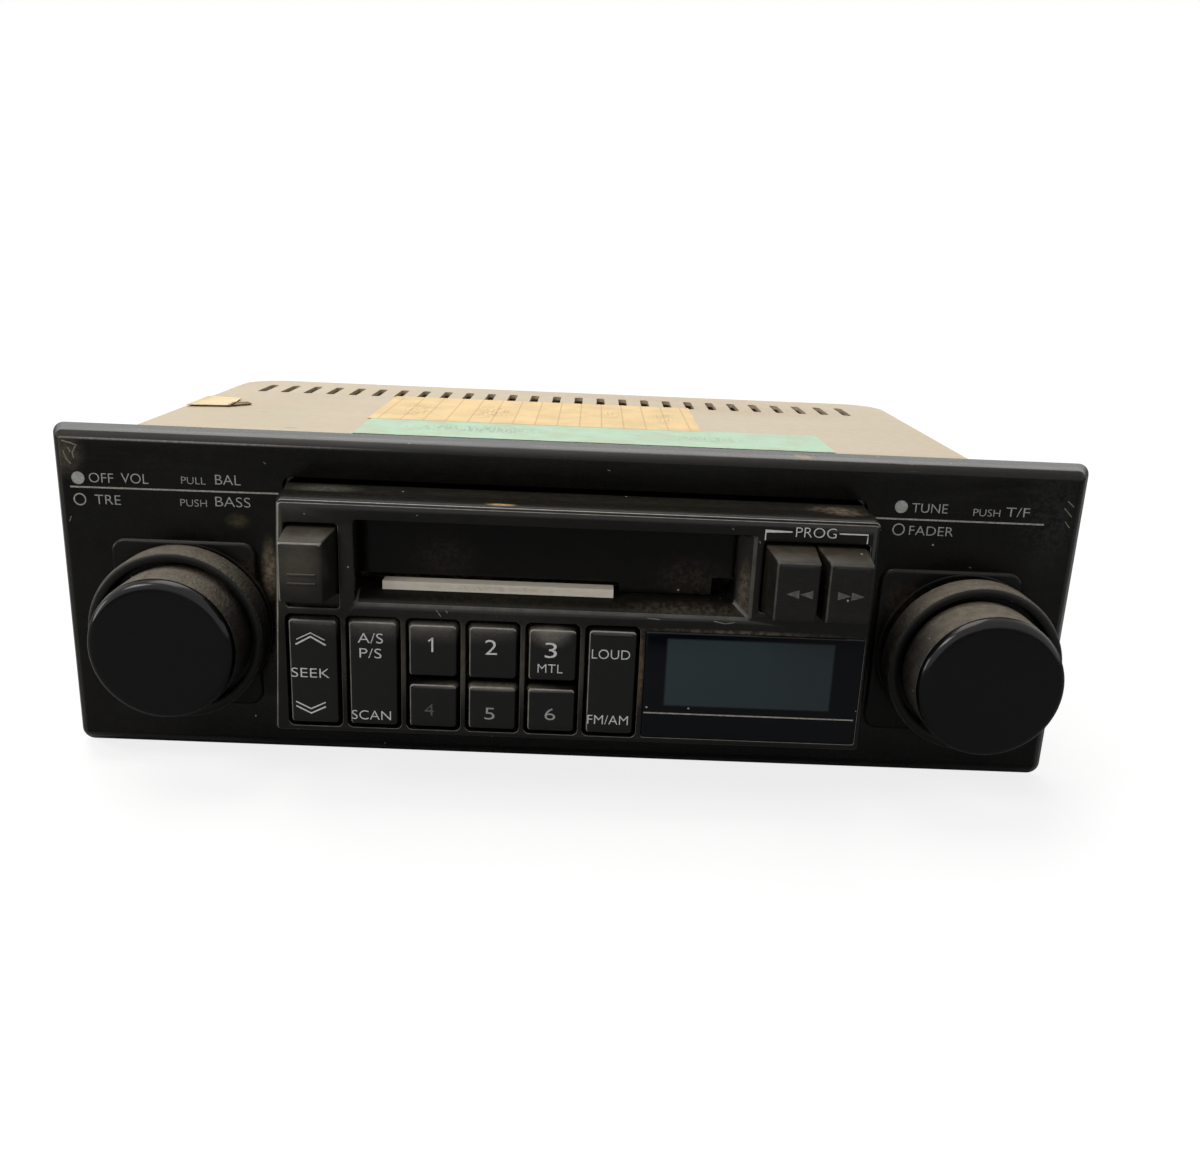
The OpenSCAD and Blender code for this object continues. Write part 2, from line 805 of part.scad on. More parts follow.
// Three nuts on each bushing: behind the plate's face, behind the adapter and on the chassis
module shaft_nuts() {
  color(brass_yellow) placed()
    for (x = knob_x)
      for (y = [nut_seat_y - nut_t, adapter_t, chassis_y0 - nut_t])
        difference() {
          hex_y(x, shaft_z, nut_r, [y, y + nut_t]);
          rod_y(x, shaft_z, bushing_r, [y - past, y + nut_t + past]);
        }
}

// Windows in the front wall, one for each key column, the tape buttons and the display
module nose_windows() {
  for (i = [0:5])
    block(
      [key_column(i) - key_w / 2 - key_side_gap, key_column(i) + key_w / 2 + key_side_gap],
      [front_y - past, inside_y + past],
      [key_bottom - key_gap, key_top + key_gap]
    );
  for (x = [[eject_x, eject_x], [rewind_x, forward_x]])
    block(
      [x[0] - tape_key_w / 2 - tape_key_gap, x[1] + tape_key_w / 2 + tape_key_gap],
      [front_y - past, inside_y + past],
      [tape_key_z - tape_key_h / 2 - tape_key_gap, tape_key_z + tape_key_h / 2 + tape_key_gap]
    );
  block(
    [eject_x - tape_key_w / 2 - tape_key_gap, eject_x + tape_key_w / 2 + tape_key_gap],
    [front_y - past, front_y + relief_deep],
    [tape_key_z - tape_key_h / 2 - relief_h, tape_key_z]
  );
  block(
    [window_x0, window_x0 + window_w],
    [front_y - past, front_y + window_t],
    [window_z1 - window_h, window_z1]
  );
  block(
    [panel_x0, panel_x1],
    [front_y, inside_y + past],
    [panel_z0, window_z1 - thin_gap]
  );
}

// The slot's mouth, with its sloping lower lip and right cheek
module slot_mouth() {
  block(
    [mouth_x0, bay_x1],
    [front_y - past, front_y + lip_run],
    [thick_floor, roof_z]
  );
  block([bay_x0, bay_x1], [inside_y, slot_back], [thick_floor, cavity_z1]);
  translate([mouth_x0, 0, 0]) rotate([90, 0, 90]) linear_extrude(bay_x1 - mouth_x0)
    polygon([
      [front_y - past, thick_floor - lip_drop],
      [front_y, thick_floor - lip_drop],
      [front_y + lip_run, thick_floor],
      [front_y - past, thick_floor]
    ]);
  intersection() {
    translate([0, 0, thick_floor - lip_drop]) linear_extrude(roof_z - thick_floor + lip_drop)
      polygon([
        [bay_x1 - past, front_y - past],
        [mouth_x1, front_y - past],
        [mouth_x1, front_y],
        [bay_x1, front_y + lip_run],
        [bay_x1 - past, front_y + lip_run]
      ]);
    translate([bay_x1 - past, 0, 0]) rotate([90, 0, 90])
      linear_extrude(mouth_x1 - bay_x1 + past)
        polygon([
          [front_y - past, thick_floor - lip_drop],
          [front_y, thick_floor - lip_drop],
          [front_y + lip_run, thick_floor],
          [front_y + lip_run, roof_z],
          [front_y - past, roof_z]
        ]);
  }
}

// Ribs behind the front wall, which hold the rocker keys' pins
module rocker_ribs() {
  difference() {
    for (i = [0, 1, 2, 5, 6])
      translate([key_column(i) - key_pitch / 2, 0, 0])
        block(
          [-rib_t / 2, rib_t / 2],
          [inside_y, rib_back],
          [rocker_z - rib_half, rocker_z + rib_half]
        );
    for (i = [0, 1, 5])
      rod_x(
        rocker_pin_y, rocker_z, rocker_pin_r + shaft_fit,
        [key_column(i) - key_pitch / 2, key_column(i) + key_pitch / 2]
      );
  }
}

module nose_piece() {
  color(black_plastic) placed() difference() {
    union() {
      difference() {
        slab_y(nose_w, nose_h, nose_r, nose_x, nose_z, [front_y, chassis_y0]);
        block([cavity_x0, cavity_x1], [inside_y, chassis_y0 + past], [cavity_z0, cavity_z1]);
        nose_windows();
      }
      block(
        [bay_x0 - guide_wall, mouth_x1 + guide_wall / 2],
        [inside_y, slot_block_back],
        [thick_floor - slot_floor_t, cavity_z1]
      );
      rocker_ribs();
    }
    slot_mouth();
    rod_x(hinge_y, hinge_z, door_pin_r, [bay_x0 - guide_wall - past, bay_x1 + guide_wall]);
  }
}

module display_window() {
  color(smoke) placed()
    block(
      [window_x0, window_x0 + window_w],
      [front_y, front_y + window_t],
      [window_z1 - window_h, window_z1]
    );
}

module display_panel() {
  color([0.16, 0.2, 0.24]) placed()
    block(
      [panel_x0, panel_x1],
      [front_y + window_t, front_y + window_t + panel_t],
      [panel_z0, window_z1 - thin_gap]
    );
}

module key_switch(x, z) {
  rod_y(x, z, switch_cap_r, [switch_front, switch_front + switch_cap_t]);
  block(
    [x - switch_body / 2, x + switch_body / 2],
    [switch_front + switch_cap_t, board_front],
    [z - switch_body / 2, z + switch_body / 2]
  );
}

module front_board() {
  color(board_brown) placed() {
    block(
      [cavity_x0, cavity_x1],
      [board_front, board_front + board_t],
      [cavity_z0, board_top]
    );
    for (i = [0, 1, 5])
      for (s = [-1, 1])
        key_switch(key_column(i), rocker_z + s * rocker_reach);
    for (i = [2:4])
      for (z = [preset_z(0), preset_z(1)])
        key_switch(key_column(i), z);
    // The light box holds the display against its window
    block(
      [panel_x0 + 1, panel_x1 - 1],
      [front_y + window_t + panel_t, board_front],
      [panel_z0 + 1, window_z1 - 1]
    );
  }
}

// The door hangs from its pin, and the cassette swings it in and up
module cassette_door() {
  door_z = [thick_floor + door_foot, hinge_z];
  color(smoke) placed() difference() {
    union() {
      block([door_x0, door_x1], [hinge_y - door_t / 2, hinge_y + door_t / 2], door_z);
      rod_x(hinge_y, hinge_z, hinge_r, [door_x0, door_x1]);
    }
    rod_x(hinge_y, hinge_z, door_pin_r + shaft_fit, [door_x0 - past, door_x1 + past]);
    block(
      [door_x0 - past, guide_x1 + 1],
      [hinge_y - past, hinge_y + past],
      [door_z[0] - past, thin_floor + door_foot]
    );
    block(
      [door_x1 - door_notch_w, door_x1 + past],
      [hinge_y - past, hinge_y + past],
      [door_z[0] - past, door_z[0] + door_notch_h]
    );
  }
}

module door_pin() {
  color(bright_steel) placed()
    rod_x(hinge_y, hinge_z, door_pin_r, [bay_x0 - guide_wall, bay_x1 + guide_wall]);
}

module cassette_guide() {
  color(nylon_white) placed()
    block([guide_x0, guide_x1], [front_y + lip_run, guide_back], [thick_floor, thin_floor - 0.2]);
}

module carriage_ear(x, y, towards) {
  difference() {
    union() {
      rod_z(x, y, ear_r, [carriage_top - ear_t, carriage_top]);
      block(
        [min(x, towards), max(x, towards)],
        [y - ear_r, y + ear_r],
        [carriage_top - ear_t, carriage_top]
      );
    }
    rod_z(x, y, post_r + shaft_fit, [carriage_top - ear_t - past, carriage_top + past]);
  }
}

module cassette_carriage() {
  left_floor = thin_floor - metal;
  right_floor = thick_floor - metal;
  ends = [
    [carriage_y0, carriage_y0 + carriage_front],
    [carriage_y1 - carriage_rear, carriage_y1]
  ];
  color(bright_steel) placed() {
    block([carriage_x0, carriage_x1], [carriage_y0, carriage_y1], [roof_z, carriage_top]);
    block(
      [carriage_x0, carriage_x0 + metal], [carriage_y0, carriage_y1], [left_floor, carriage_top]
    );
    block(
      [carriage_x0, carriage_x0 + left_lip_w], [carriage_y0, carriage_y1],
      [left_floor, thin_floor]
    );
    for (y = ends) {
      block([carriage_x1 - metal, carriage_x1], y, [right_floor, carriage_top]);
      block([carriage_x1 - right_lip_w, carriage_x1], y, [right_floor, thick_floor]);
    }
    block(
      [slot_x - stop_w / 2, slot_x + stop_w / 2],
      [carriage_y1 - metal, carriage_y1],
      [left_floor, carriage_top]
    );
    for (y = post_y)
      carriage_ear(left_post_x, y, carriage_x0 + metal);
    carriage_ear(right_post_x, right_post_y, carriage_x1 - metal);
  }
}

// Spring sleeve on the first guide post, which holds the carriage up
module carriage_spring() {
  inner = post_r + 0.3;
  color(bright_steel) placed() difference() {
    rod_z(left_post_x, post_y[0], inner + spring_wire, [deck_z, carriage_top - ear_t]);
    rod_z(left_post_x, post_y[0], inner, [deck_z - past, carriage_top]);
  }
}

module deck_plate() {
  color(plated_steel) placed() difference() {
    union() {
      block([deck_x0, deck_x1], [deck_y0, deck_wide_y], [deck_under, deck_z]);
      block([wall_x0, wall_x1], [deck_wide_y, deck_y1], [deck_under, deck_z]);
      block(
        [motor_x - motor_r, motor_x + motor_r],
        [deck_y1 - past, motor_y + motor_r],
        [deck_under, deck_z]
      );
      for (x = [wall_x0, wall_x1 - deck_t])
        block([x, x + deck_t], [deck_wide_y, deck_y1], [deck_under, deck_z + deck_flange]);
      for (y = capstan_y)
        rod_z(capstan_x, y, boss_r, [deck_under - boss_down, deck_z + boss_up]);
      for (y = spindle_y)
        rod_z(spindle_x, y, spindle_pin_r, [deck_z, spindle_top - 0.6]);
      for (y = post_y)
        rod_z(left_post_x, y, post_r, [deck_z, post_top]);
      rod_z(right_post_x, right_post_y, post_r, [deck_z, post_top]);
      for (y = head_pin_y)
        rod_z(head_pin_x, y, head_pin_r, [deck_z, head_plate_top + 1]);
    }
    for (y = capstan_y)
      rod_z(
        capstan_x, y, capstan_r + shaft_fit,
        [deck_under - boss_down - past, deck_z + boss_up + past]
      );
    rod_z(motor_x, motor_y, pulley_r + past, [deck_under - past, deck_z + past]);
  }
}

module head_plate() {
  color(bright_steel) placed() difference() {
    union() {
      block(
        [head_plate_x0, head_plate_x1],
        [capstan_y[0] - head_plate_edge, capstan_y[1] + head_plate_edge],
        [head_plate_z, head_plate_top]
      );
      for (y = capstan_y) {
        rod_z(roller_x, y, 2 * roller_pin_r, [head_plate_top, roller_under - thin_gap]);
        rod_z(roller_x, y, roller_pin_r, [head_plate_top, roller_top + 0.6]);
      }
    }
    for (y = head_pin_y) {
      block(
        [head_pin_x, head_pin_x + head_travel],
        [y - head_slot_r, y + head_slot_r],
        [head_plate_z - past, head_plate_top + past]
      );
      for (x = [head_pin_x, head_pin_x + head_travel])
        rod_z(x, y, head_slot_r, [head_plate_z - past, head_plate_top + past]);
    }
  }
}

module tape_head() {
  color(bright_steel) placed() intersection() {
    block(
      [head_x0, head_x0 + head_deep],
      [tape_mid_y - head_w / 2, tape_mid_y + head_w / 2],
      [head_plate_top, head_z1]
    );
    rod_z(head_x0 + head_nose_r, tape_mid_y, head_nose_r, [head_plate_top, head_z1]);
  }
}

module pinch_roller(y) {
  color(rubber_black) placed() difference() {
    rod_z(roller_x, y, roller_r, [roller_under, roller_top]);
    rod_z(roller_x, y, roller_pin_r + shaft_fit, [roller_under - past, roller_top + past]);
  }
}

module front_pinch_roller() {
  pinch_roller(capstan_y[0]);
}

module rear_pinch_roller() {
  pinch_roller(capstan_y[1]);
}

// A flywheel with its capstan, which turns in the deck plate's boss
module flywheel(y) {
  color(brass_yellow) placed() {
    rod_z(capstan_x, y, flywheel_r, [flywheel_under, flywheel_top]);
    rod_z(capstan_x, y, capstan_r, [flywheel_under - flywheel_hub, capstan_top]);
  }
}

module front_flywheel() {
  flywheel(capstan_y[0]);
}

module rear_flywheel() {
  flywheel(capstan_y[1]);
}

// A tape spindle with three fins for the cassette's hub
module spindle(y) {
  flange = [deck_z + thin_gap, deck_z + thin_gap + spindle_flange_t];
  color(nylon_white) placed() difference() {
    union() {
      rod_z(spindle_x, y, spindle_flange_r, flange);
      rod_z(spindle_x, y, spindle_hub_r, [flange[0], spindle_top]);
      for (a = [0:120:240])
        translate([spindle_x, y, 0]) rotate([0, 0, a])
          block([0, spindle_fin_r], [-0.6, 0.6], [flange[0], spindle_top]);
    }
    rod_z(spindle_x, y, spindle_pin_r + shaft_fit, [flange[0] - past, spindle_top + past]);
  }
}

module front_spindle() {
  spindle(spindle_y[0]);
}

module rear_spindle() {
  spindle(spindle_y[1]);
}

module drive_motor() {
  color(bright_steel) placed() difference() {
    rod_z(motor_x, motor_y, motor_r, [deck_z, deck_z + motor_h]);
    rod_z(motor_x, motor_y, motor_shaft_r + shaft_fit, [deck_z - past, deck_z + motor_shaft_up]);
  }
}

module motor_pulley() {
  color(brass_yellow) placed() {
    rod_z(motor_x, motor_y, pulley_r, [flywheel_under, flywheel_top]);
    rod_z(
      motor_x, motor_y, motor_shaft_r,
      [flywheel_under, deck_z + motor_shaft_up - thin_gap]
    );
  }
}

module drive_belt() {
  color(rubber_black) placed() translate([0, 0, belt_z]) linear_extrude(belt_h)
    difference() {
      polygon(belt_path(true));
      polygon(belt_path(false));
    }
}

// Circuit board with its taller parts
module main_board() {
  top = board_z + board_t;
  color(board_green) placed() {
    block([wall_x0 + board_side, wall_x1 - board_side], [board_y0, board_y1], [board_z, top]);
    for (i = [0:3]) {
      rod_z(wall_x0 + can_side + can_pitch * i, board_y0 + can_back, can_r, [top, top + can_h]);
      rod_z(wall_x1 - can_side - can_pitch * i, board_y0 + can_back, can_r, [top, top + can_h]);
    }
    translate([chassis_x + tuner_side, board_y0 + tuner_back, top])
      cube([tuner_w, tuner_l, tuner_h]);
    for (x = [-chip_side, -3 * chip_side])
      translate([chassis_x + x, board_y0 + tuner_back, top]) cube([chip_w, chip_l, chip_h]);
  }
}

module power_amplifier() {
  color(key_black) placed()
    block(
      [amp_x - amp_w / 2, amp_x + amp_w / 2],
      [back_y - amp_t, back_y],
      [board_z + board_t + 1, board_z + board_t + 1 + amp_h]
    );
}

module antenna_socket() {
  outer = antenna_r + antenna_wall;
  color(bright_steel) placed() difference() {
    union() {
      rod_y(antenna_x, antenna_z, outer, [chassis_y1 - antenna_len, chassis_y1]);
      rod_y(antenna_x, antenna_z, outer + antenna_lip, [chassis_y1, chassis_y1 + antenna_lip]);
    }
    rod_y(
      antenna_x, antenna_z, antenna_r,
      [chassis_y1 - antenna_len + antenna_wall, chassis_y1 + antenna_lip + past]
    );
  }
}

module cable_grommet() {
  neck = grommet_r + grommet_wall;
  color(rubber_black) placed() difference() {
    union() {
      rod_y(grommet_x, grommet_z, neck, [back_y, chassis_y1]);
      rod_y(grommet_x, grommet_z, neck + grommet_lip, [back_y - grommet_lip, back_y]);
      rod_y(
        grommet_x, grommet_z, neck + grommet_lip,
        [chassis_y1, chassis_y1 + grommet_flange]
      );
    }
    rod_y(
      grommet_x, grommet_z, grommet_r,
      [back_y - grommet_lip - past, chassis_y1 + grommet_flange + past]
    );
  }
}

module rear_stud() {
  color(bright_steel) placed() {
    rod_y(chassis_x, stud_z, stud_r, [back_y, unit_back]);
    rod_y(chassis_x, stud_z, stud_nut_r, [back_y - stud_head_t, back_y]);
    hex_y(chassis_x, stud_z, stud_nut_r, [chassis_y1, chassis_y1 + stud_nut_t]);
  }
}

// Housing behind the front wall with its threaded bushing and two rotor rooms
module control(x) {
  color(bright_steel) placed() difference() {
    union() {
      block(
        [x - control_half, x + control_half],
        [control_y0, control_y1],
        [shaft_z - control_half, shaft_z + control_half]
      );
      rod_y(x, shaft_z, bushing_r, [bushing_front, control_y0]);
      for (i = [0:lug_count - 1])
        translate([x + (i - (lug_count - 1) / 2) * lug_pitch, control_y0 + lug_back, 0])
          block(
            [-lug_w / 2, lug_w / 2], [0, lug_t],
            [shaft_z - control_half - lug_h, shaft_z - control_half]
          );
    }
    rod_y(x, shaft_z, outer_shaft_r + shaft_fit, [bushing_front - past, wall_y]);
    rod_y(x, shaft_z, rotor_room_r, [wall_y, partition_y[0]]);
    rod_y(x, shaft_z, partition_r, [wall_y, partition_y[1] + past / 2]);
    rod_y(x, shaft_z, rotor_room_r, [partition_y[1], control_y1 - end_wall]);
  }
}

module volume_control() {
  control(knob_x[0]);
}

module tuning_control() {
  control(knob_x[1]);
}

// A disc that turns with an inner shaft and lets it slide
module back_rotor(x) {
  color(nylon_white) placed() difference() {
    rod_y(x, shaft_z, rotor_r, [back_rotor_y, back_rotor_y + back_rotor_t]);
    flat_rod_y(
      x, shaft_z, inner_shaft_r + shaft_fit, inner_flat + shaft_fit,
      [back_rotor_y - past, back_rotor_y + back_rotor_t + past]
    );
  }
}

module volume_rotor() {
  back_rotor(knob_x[0]);
}

module tuning_rotor() {
  back_rotor(knob_x[1]);
}

module tone_rotor() {
  color(nylon_white) placed() difference() {
    rod_y(knob_x[0], shaft_z, rotor_r, [front_rotor_y, front_rotor_y + rotor_t]);
    flat_rod_y(
      knob_x[0], shaft_z, outer_shaft_r + shaft_fit, outer_flat + shaft_fit,
      [front_rotor_y - past, front_rotor_y + rotor_t + past]
    );
  }
}

// Depths of a ring and of the knob in front of it, from the gap behind the ring
function ring_front(gap) = -gap - ring_len;
function ring_boss_front(gap) = -gap - ring_floor - ring_boss;
function knob_rear(gap, push) = -gap - ring_floor - knob_floor_room - push;
function hub_rear(gap, push) = ring_boss_front(gap) - knob_hub_room - push;
function shaft_front(out) = -out + knob_face + 1;

module volume_shaft() {
  color(bright_steel) placed()
    flat_rod_y(
      knob_x[0], shaft_z, inner_shaft_r, inner_flat, [shaft_front(volume_out), inner_end]
    );
}

module tuning_shaft() {
  color(bright_steel) placed()
    flat_rod_y(
      knob_x[1], shaft_z, inner_shaft_r, inner_flat, [shaft_front(tuning_out), inner_end]
    );
}

// A hollow shaft with a flat, round the inner shaft
module outer_shaft(x, gap) {
  difference() {
    flat_rod_y(x, shaft_z, outer_shaft_r, outer_flat, [ring_boss_front(gap), outer_end]);
    rod_y(
      x, shaft_z, inner_shaft_r + shaft_fit, [ring_boss_front(gap) - past, outer_end + past]
    );
  }
}

module tone_shaft() {
  color(bright_steel) placed() outer_shaft(knob_x[0], tone_gap);
}

module fader_shaft() {
  color(bright_steel) placed() {
    outer_shaft(knob_x[1], fader_gap);
    difference() {
      rod_y(knob_x[1], shaft_z, rotor_r, [front_rotor_y, front_rotor_y + rotor_t]);
      flat_rod_y(
        knob_x[1], shaft_z, outer_shaft_r, outer_flat,
        [front_rotor_y - past, front_rotor_y + rotor_t + past]
      );
    }
  }
}

// A knob is a cup with a rounded front edge and a hub on the inner shaft
module knob(x, out, rear, hub) {
  shell_r = knob_r - knob_wall;
  color(knob_grey) placed() difference() {
    turned_y(x, shaft_z, concat(
      [[0, -out]],
      arc_points(knob_r - knob_edge, -out + knob_edge, knob_edge, -90, 0, edge_steps),
      [
        [knob_r, rear], [shell_r, rear], [shell_r, -out + knob_face],
        [knob_hub_r, -out + knob_face], [knob_hub_r, hub], [0, hub]
      ]
    ));
    flat_rod_y(x, shaft_z, inner_shaft_r, inner_flat, [shaft_front(out), past]);
  }
}

module volume_knob() {
  knob(knob_x[0], volume_out, knob_rear(tone_gap, 0), hub_rear(tone_gap, 0));
}

module tuning_knob() {
  knob(
    knob_x[1], tuning_out, knob_rear(fader_gap, push_travel), hub_rear(fader_gap, push_travel)
  );
}

// A ring is a dish round the knob, with a boss on the outer shaft
module ring(x, gap) {
  front = ring_front(gap);
  dish = -gap - ring_floor;
  color(knob_grey) placed() difference() {
    turned_y(x, shaft_z, [
      [0, -gap], [ring_r, -gap], [ring_r, front + ring_edge], [ring_r - ring_edge, front],
      [ring_bore_r, front], [ring_bore_r, dish], [ring_boss_r, dish],
      [ring_boss_r, ring_boss_front(gap)], [0, ring_boss_front(gap)]
    ]);
    flat_rod_y(x, shaft_z, outer_shaft_r, outer_flat, [ring_boss_front(gap) - past, past]);
  }
}

module tone_ring() {
  ring(knob_x[0], tone_gap);
}

module fader_ring() {
  ring(knob_x[1], fader_gap);
}

// A tape button with a bevel on its top and on one side, and its stem
module tape_button(x, side) {
  half = tape_key_w / 2;
  z0 = tape_key_z - tape_key_h / 2;
  z1 = tape_key_z + tape_key_h / 2;
  color(black_plastic) placed() {
    intersection() {
      block([x - half, x + half], [tape_key_front, tape_key_back], [z0, z1]);
      translate([x - half, 0, 0]) rotate([90, 0, 90]) linear_extrude(tape_key_w)
        polygon([
          [tape_key_front, z0],
          [tape_key_front, z1 - tape_key_bevel],
          [front_y, z1],
          [tape_key_back, z1],
          [tape_key_back, z0]
        ]);
      translate([x, 0, z0]) linear_extrude(tape_key_h)
        polygon([
          [-side * half, tape_key_front],
          [side * (half - tape_key_bevel), tape_key_front],
          [side * half, front_y],
          [side * half, tape_key_back],
          [-side * half, tape_key_back]
        ]);
    }
    block(
      [x - half, x + half],
      [inside_y + thin_gap, inside_y + thin_gap + tape_key_rim],
      [z0 - tape_key_flange, z1 + tape_key_flange]
    );
    block(
      [x - stem_w / 2, x + stem_w / 2],
      [tape_key_back, stem_end],
      [tape_key_z - stem_h / 2, tape_key_z + stem_h / 2]
    );
  }
}

module eject_button() {
  tape_button(eject_x, 1);
  color(black_plastic) placed()
    for (z = rib_z)
      block(
        [eject_x - rib_w / 2 - tape_key_bevel / 2, eject_x + rib_w / 2 - tape_key_bevel / 2],
        [tape_key_front - rib_proud, tape_key_front],
        [tape_key_z + z - rib_h / 2, tape_key_z + z + rib_h / 2]
      );
}

module rewind_button() {
  tape_button(rewind_x, -1);
}

module forward_button() {
  tape_button(forward_x, -1);
}

// A tall key that rocks on a pin across its middle
module rocker(i) {
  x = key_column(i);
  half = key_w / 2;
  color(key_black) placed() {
    block([x - half, x + half], [key_front, key_back], [key_bottom, key_top]);
    rod_x(
      rocker_pin_y, rocker_z, rocker_pin_r,
      [x - key_pitch / 2 + thin_gap, x + key_pitch / 2 - thin_gap]
    );
    for (s = [-1, 1])
      rod_y(x, rocker_z + s * rocker_reach, key_stem_r, [key_back, key_foot]);
  }
}

module seek_rocker() {
  rocker(0);
}

module scan_rocker() {
  rocker(1);
}

module band_rocker() {
  rocker(5);
}

// Ends and middle of a preset key, in the upper row 0 or the lower row 1
function preset_ends(row) = row == 0
  ? [key_top - 0.2 - preset_h, key_top - 0.2]
  : [key_bottom, key_top - 0.2 - preset_h - key_split];
function preset_z(row) = (preset_ends(row)[0] + preset_ends(row)[1]) / 2;

// A preset key with a stop behind the front wall, at its top or at the sides of its foot
module preset_button(i, row) {
  x = key_column(i);
  half = key_w / 2;
  z = preset_ends(row);
  stop = row == 0 ? [z[1] - key_flange, z[1] + 1.5 * key_flange] : [z[0], z[0] + key_foot_h];
  wide = row == 0 ? half : half + key_side_flange;
  color(key_black) placed() {
    block([x - half, x + half], [key_front, key_back], z);
    block([x - wide, x + wide], [key_flange_y, key_flange_y + key_flange_t], stop);
    rod_y(x, preset_z(row), key_stem_r, [key_back, key_foot]);
  }
}

module preset_button_1() {
  preset_button(2, 0);
}

module preset_button_2() {
  preset_button(3, 0);
}

module preset_button_3() {
  preset_button(4, 0);
}

module preset_button_4() {
  preset_button(2, 1);
}

module preset_button_5() {
  preset_button(3, 1);
}

module preset_button_6() {
  preset_button(4, 1);
}

chassis_frame();
top_cover();
bottom_cover();
cover_screws();
trim_plate();
left_adapter();
right_adapter();
shaft_nuts();
nose_piece();
display_window();
display_panel();
front_board();
cassette_door();
door_pin();
cassette_guide();
cassette_carriage();
carriage_spring();
deck_plate();
head_plate();
tape_head();
front_pinch_roller();
rear_pinch_roller();
front_flywheel();
rear_flywheel();
front_spindle();
rear_spindle();
drive_motor();
motor_pulley();
drive_belt();
main_board();
power_amplifier();
antenna_socket();
cable_grommet();
rear_stud();
volume_control();
volume_rotor();
volume_shaft();
volume_knob();
tone_rotor();
tone_shaft();
tone_ring();
tuning_control();
tuning_rotor();
tuning_shaft();
tuning_knob();
fader_shaft();
fader_ring();
eject_button();
rewind_button();
forward_button();
seek_rocker();
scan_rocker();
band_rocker();
preset_button_1();
preset_button_2();
preset_button_3();
preset_button_4();
preset_button_5();
preset_button_6();
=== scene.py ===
import math

import bmesh
import bpy
from mathutils import Matrix, Vector, noise


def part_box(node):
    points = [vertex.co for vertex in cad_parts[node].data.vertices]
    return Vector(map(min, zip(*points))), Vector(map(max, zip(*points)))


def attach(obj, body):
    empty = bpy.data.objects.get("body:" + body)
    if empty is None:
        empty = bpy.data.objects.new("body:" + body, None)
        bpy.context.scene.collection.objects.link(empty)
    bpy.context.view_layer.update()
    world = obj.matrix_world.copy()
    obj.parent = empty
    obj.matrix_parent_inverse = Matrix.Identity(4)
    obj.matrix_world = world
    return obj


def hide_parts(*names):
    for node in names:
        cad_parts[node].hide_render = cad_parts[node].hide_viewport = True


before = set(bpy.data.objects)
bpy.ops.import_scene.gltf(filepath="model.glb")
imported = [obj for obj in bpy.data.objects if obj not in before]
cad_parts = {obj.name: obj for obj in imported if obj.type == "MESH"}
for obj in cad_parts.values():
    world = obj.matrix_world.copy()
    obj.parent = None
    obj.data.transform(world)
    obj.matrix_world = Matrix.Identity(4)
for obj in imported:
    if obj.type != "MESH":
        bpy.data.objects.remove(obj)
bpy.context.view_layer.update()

# Sizes and places are in millimetres from the middle of the trim plate's face, as in the part's
# source. These two shifts put that point where the model has it.
low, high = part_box("trim_plate")
FACE_Y = low[1]
MIDDLE_Z = (low[2] + high[2]) / 2


def mm(x, y, z):
    return Vector((x / 1000, y / 1000 + FACE_Y, z / 1000 + MIDDLE_Z))


def as_mm(point):
    return point[0] * 1000, (point[1] - FACE_Y) * 1000, (point[2] - MIDDLE_Z) * 1000


def node_mm(node):
    return [as_mm(corner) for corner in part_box(node)]


# Mesh building.

def finish_mesh(name, bm, material=None, smooth_angle=32):
    bmesh.ops.remove_doubles(bm, verts=bm.verts, dist=1e-7)
    bmesh.ops.recalc_face_normals(bm, faces=bm.faces)
    mesh = bpy.data.meshes.new(name)
    bm.to_mesh(mesh)
    bm.free()
    piece = bpy.data.objects.new(name, mesh)
    bpy.context.collection.objects.link(piece)
    if material:
        mesh.materials.append(material)
    smooth_by_angle(mesh, smooth_angle)
    return piece


def smooth_by_angle(mesh, angle):
    bm = bmesh.new()
    bm.from_mesh(mesh)
    limit = math.radians(angle)
    for face in bm.faces:
        face.smooth = True
    for edge in bm.edges:
        if len(edge.link_faces) == 2:
            edge.smooth = edge.calc_face_angle(0) < limit
        else:
            edge.smooth = False
    bm.to_mesh(mesh)
    bm.free()


def rect_ring(x0, x1, z0, z1, r, steps=5):
    """Corners of a rounded rectangle seen from the front, going round from the right."""
    r = max(min(r, (x1 - x0) / 2 - 1e-4, (z1 - z0) / 2 - 1e-4), 1e-3)
    points = []
    for cx, cz, a0 in ((x1 - r, z1 - r, 0), (x0 + r, z1 - r, 90),
                       (x0 + r, z0 + r, 180), (x1 - r, z0 + r, 270)):
        for i in range(steps + 1):
            a = math.radians(a0 + 90 * i / steps)
            points.append((cx + r * math.cos(a), cz + r * math.sin(a)))
    return points


def add_loft(bm, rings, cap_front=True, cap_back=True):
    rows = [[bm.verts.new(p) for p in ring] for ring in rings]
    n = len(rows[0])
    for a, b in zip(rows, rows[1:]):
        for i in range(n):
            j = (i + 1) % n
            bm.faces.new((a[i], a[j], b[j], b[i]))
    if cap_front:
        bm.faces.new(list(reversed(rows[0])))
    if cap_back:
        bm.faces.new(rows[-1])


def slab_rings(box, r, profile, steps=5):
    """Rings of a slab that faces the front. profile holds (inset, y)."""
    x0, x1, z0, z1 = box
    rings = []
    for inset, y in profile:
        outline = rect_ring(x0 + inset, x1 - inset, z0 + inset, z1 - inset, r - inset, steps)
        rings.append([mm(x, y, z) for x, z in outline])
    return rings


def slab(name, box, r, profile, material, steps=5):
    bm = bmesh.new()
    add_loft(bm, slab_rings(box, r, profile, steps))
    return finish_mesh(name, bm, material)


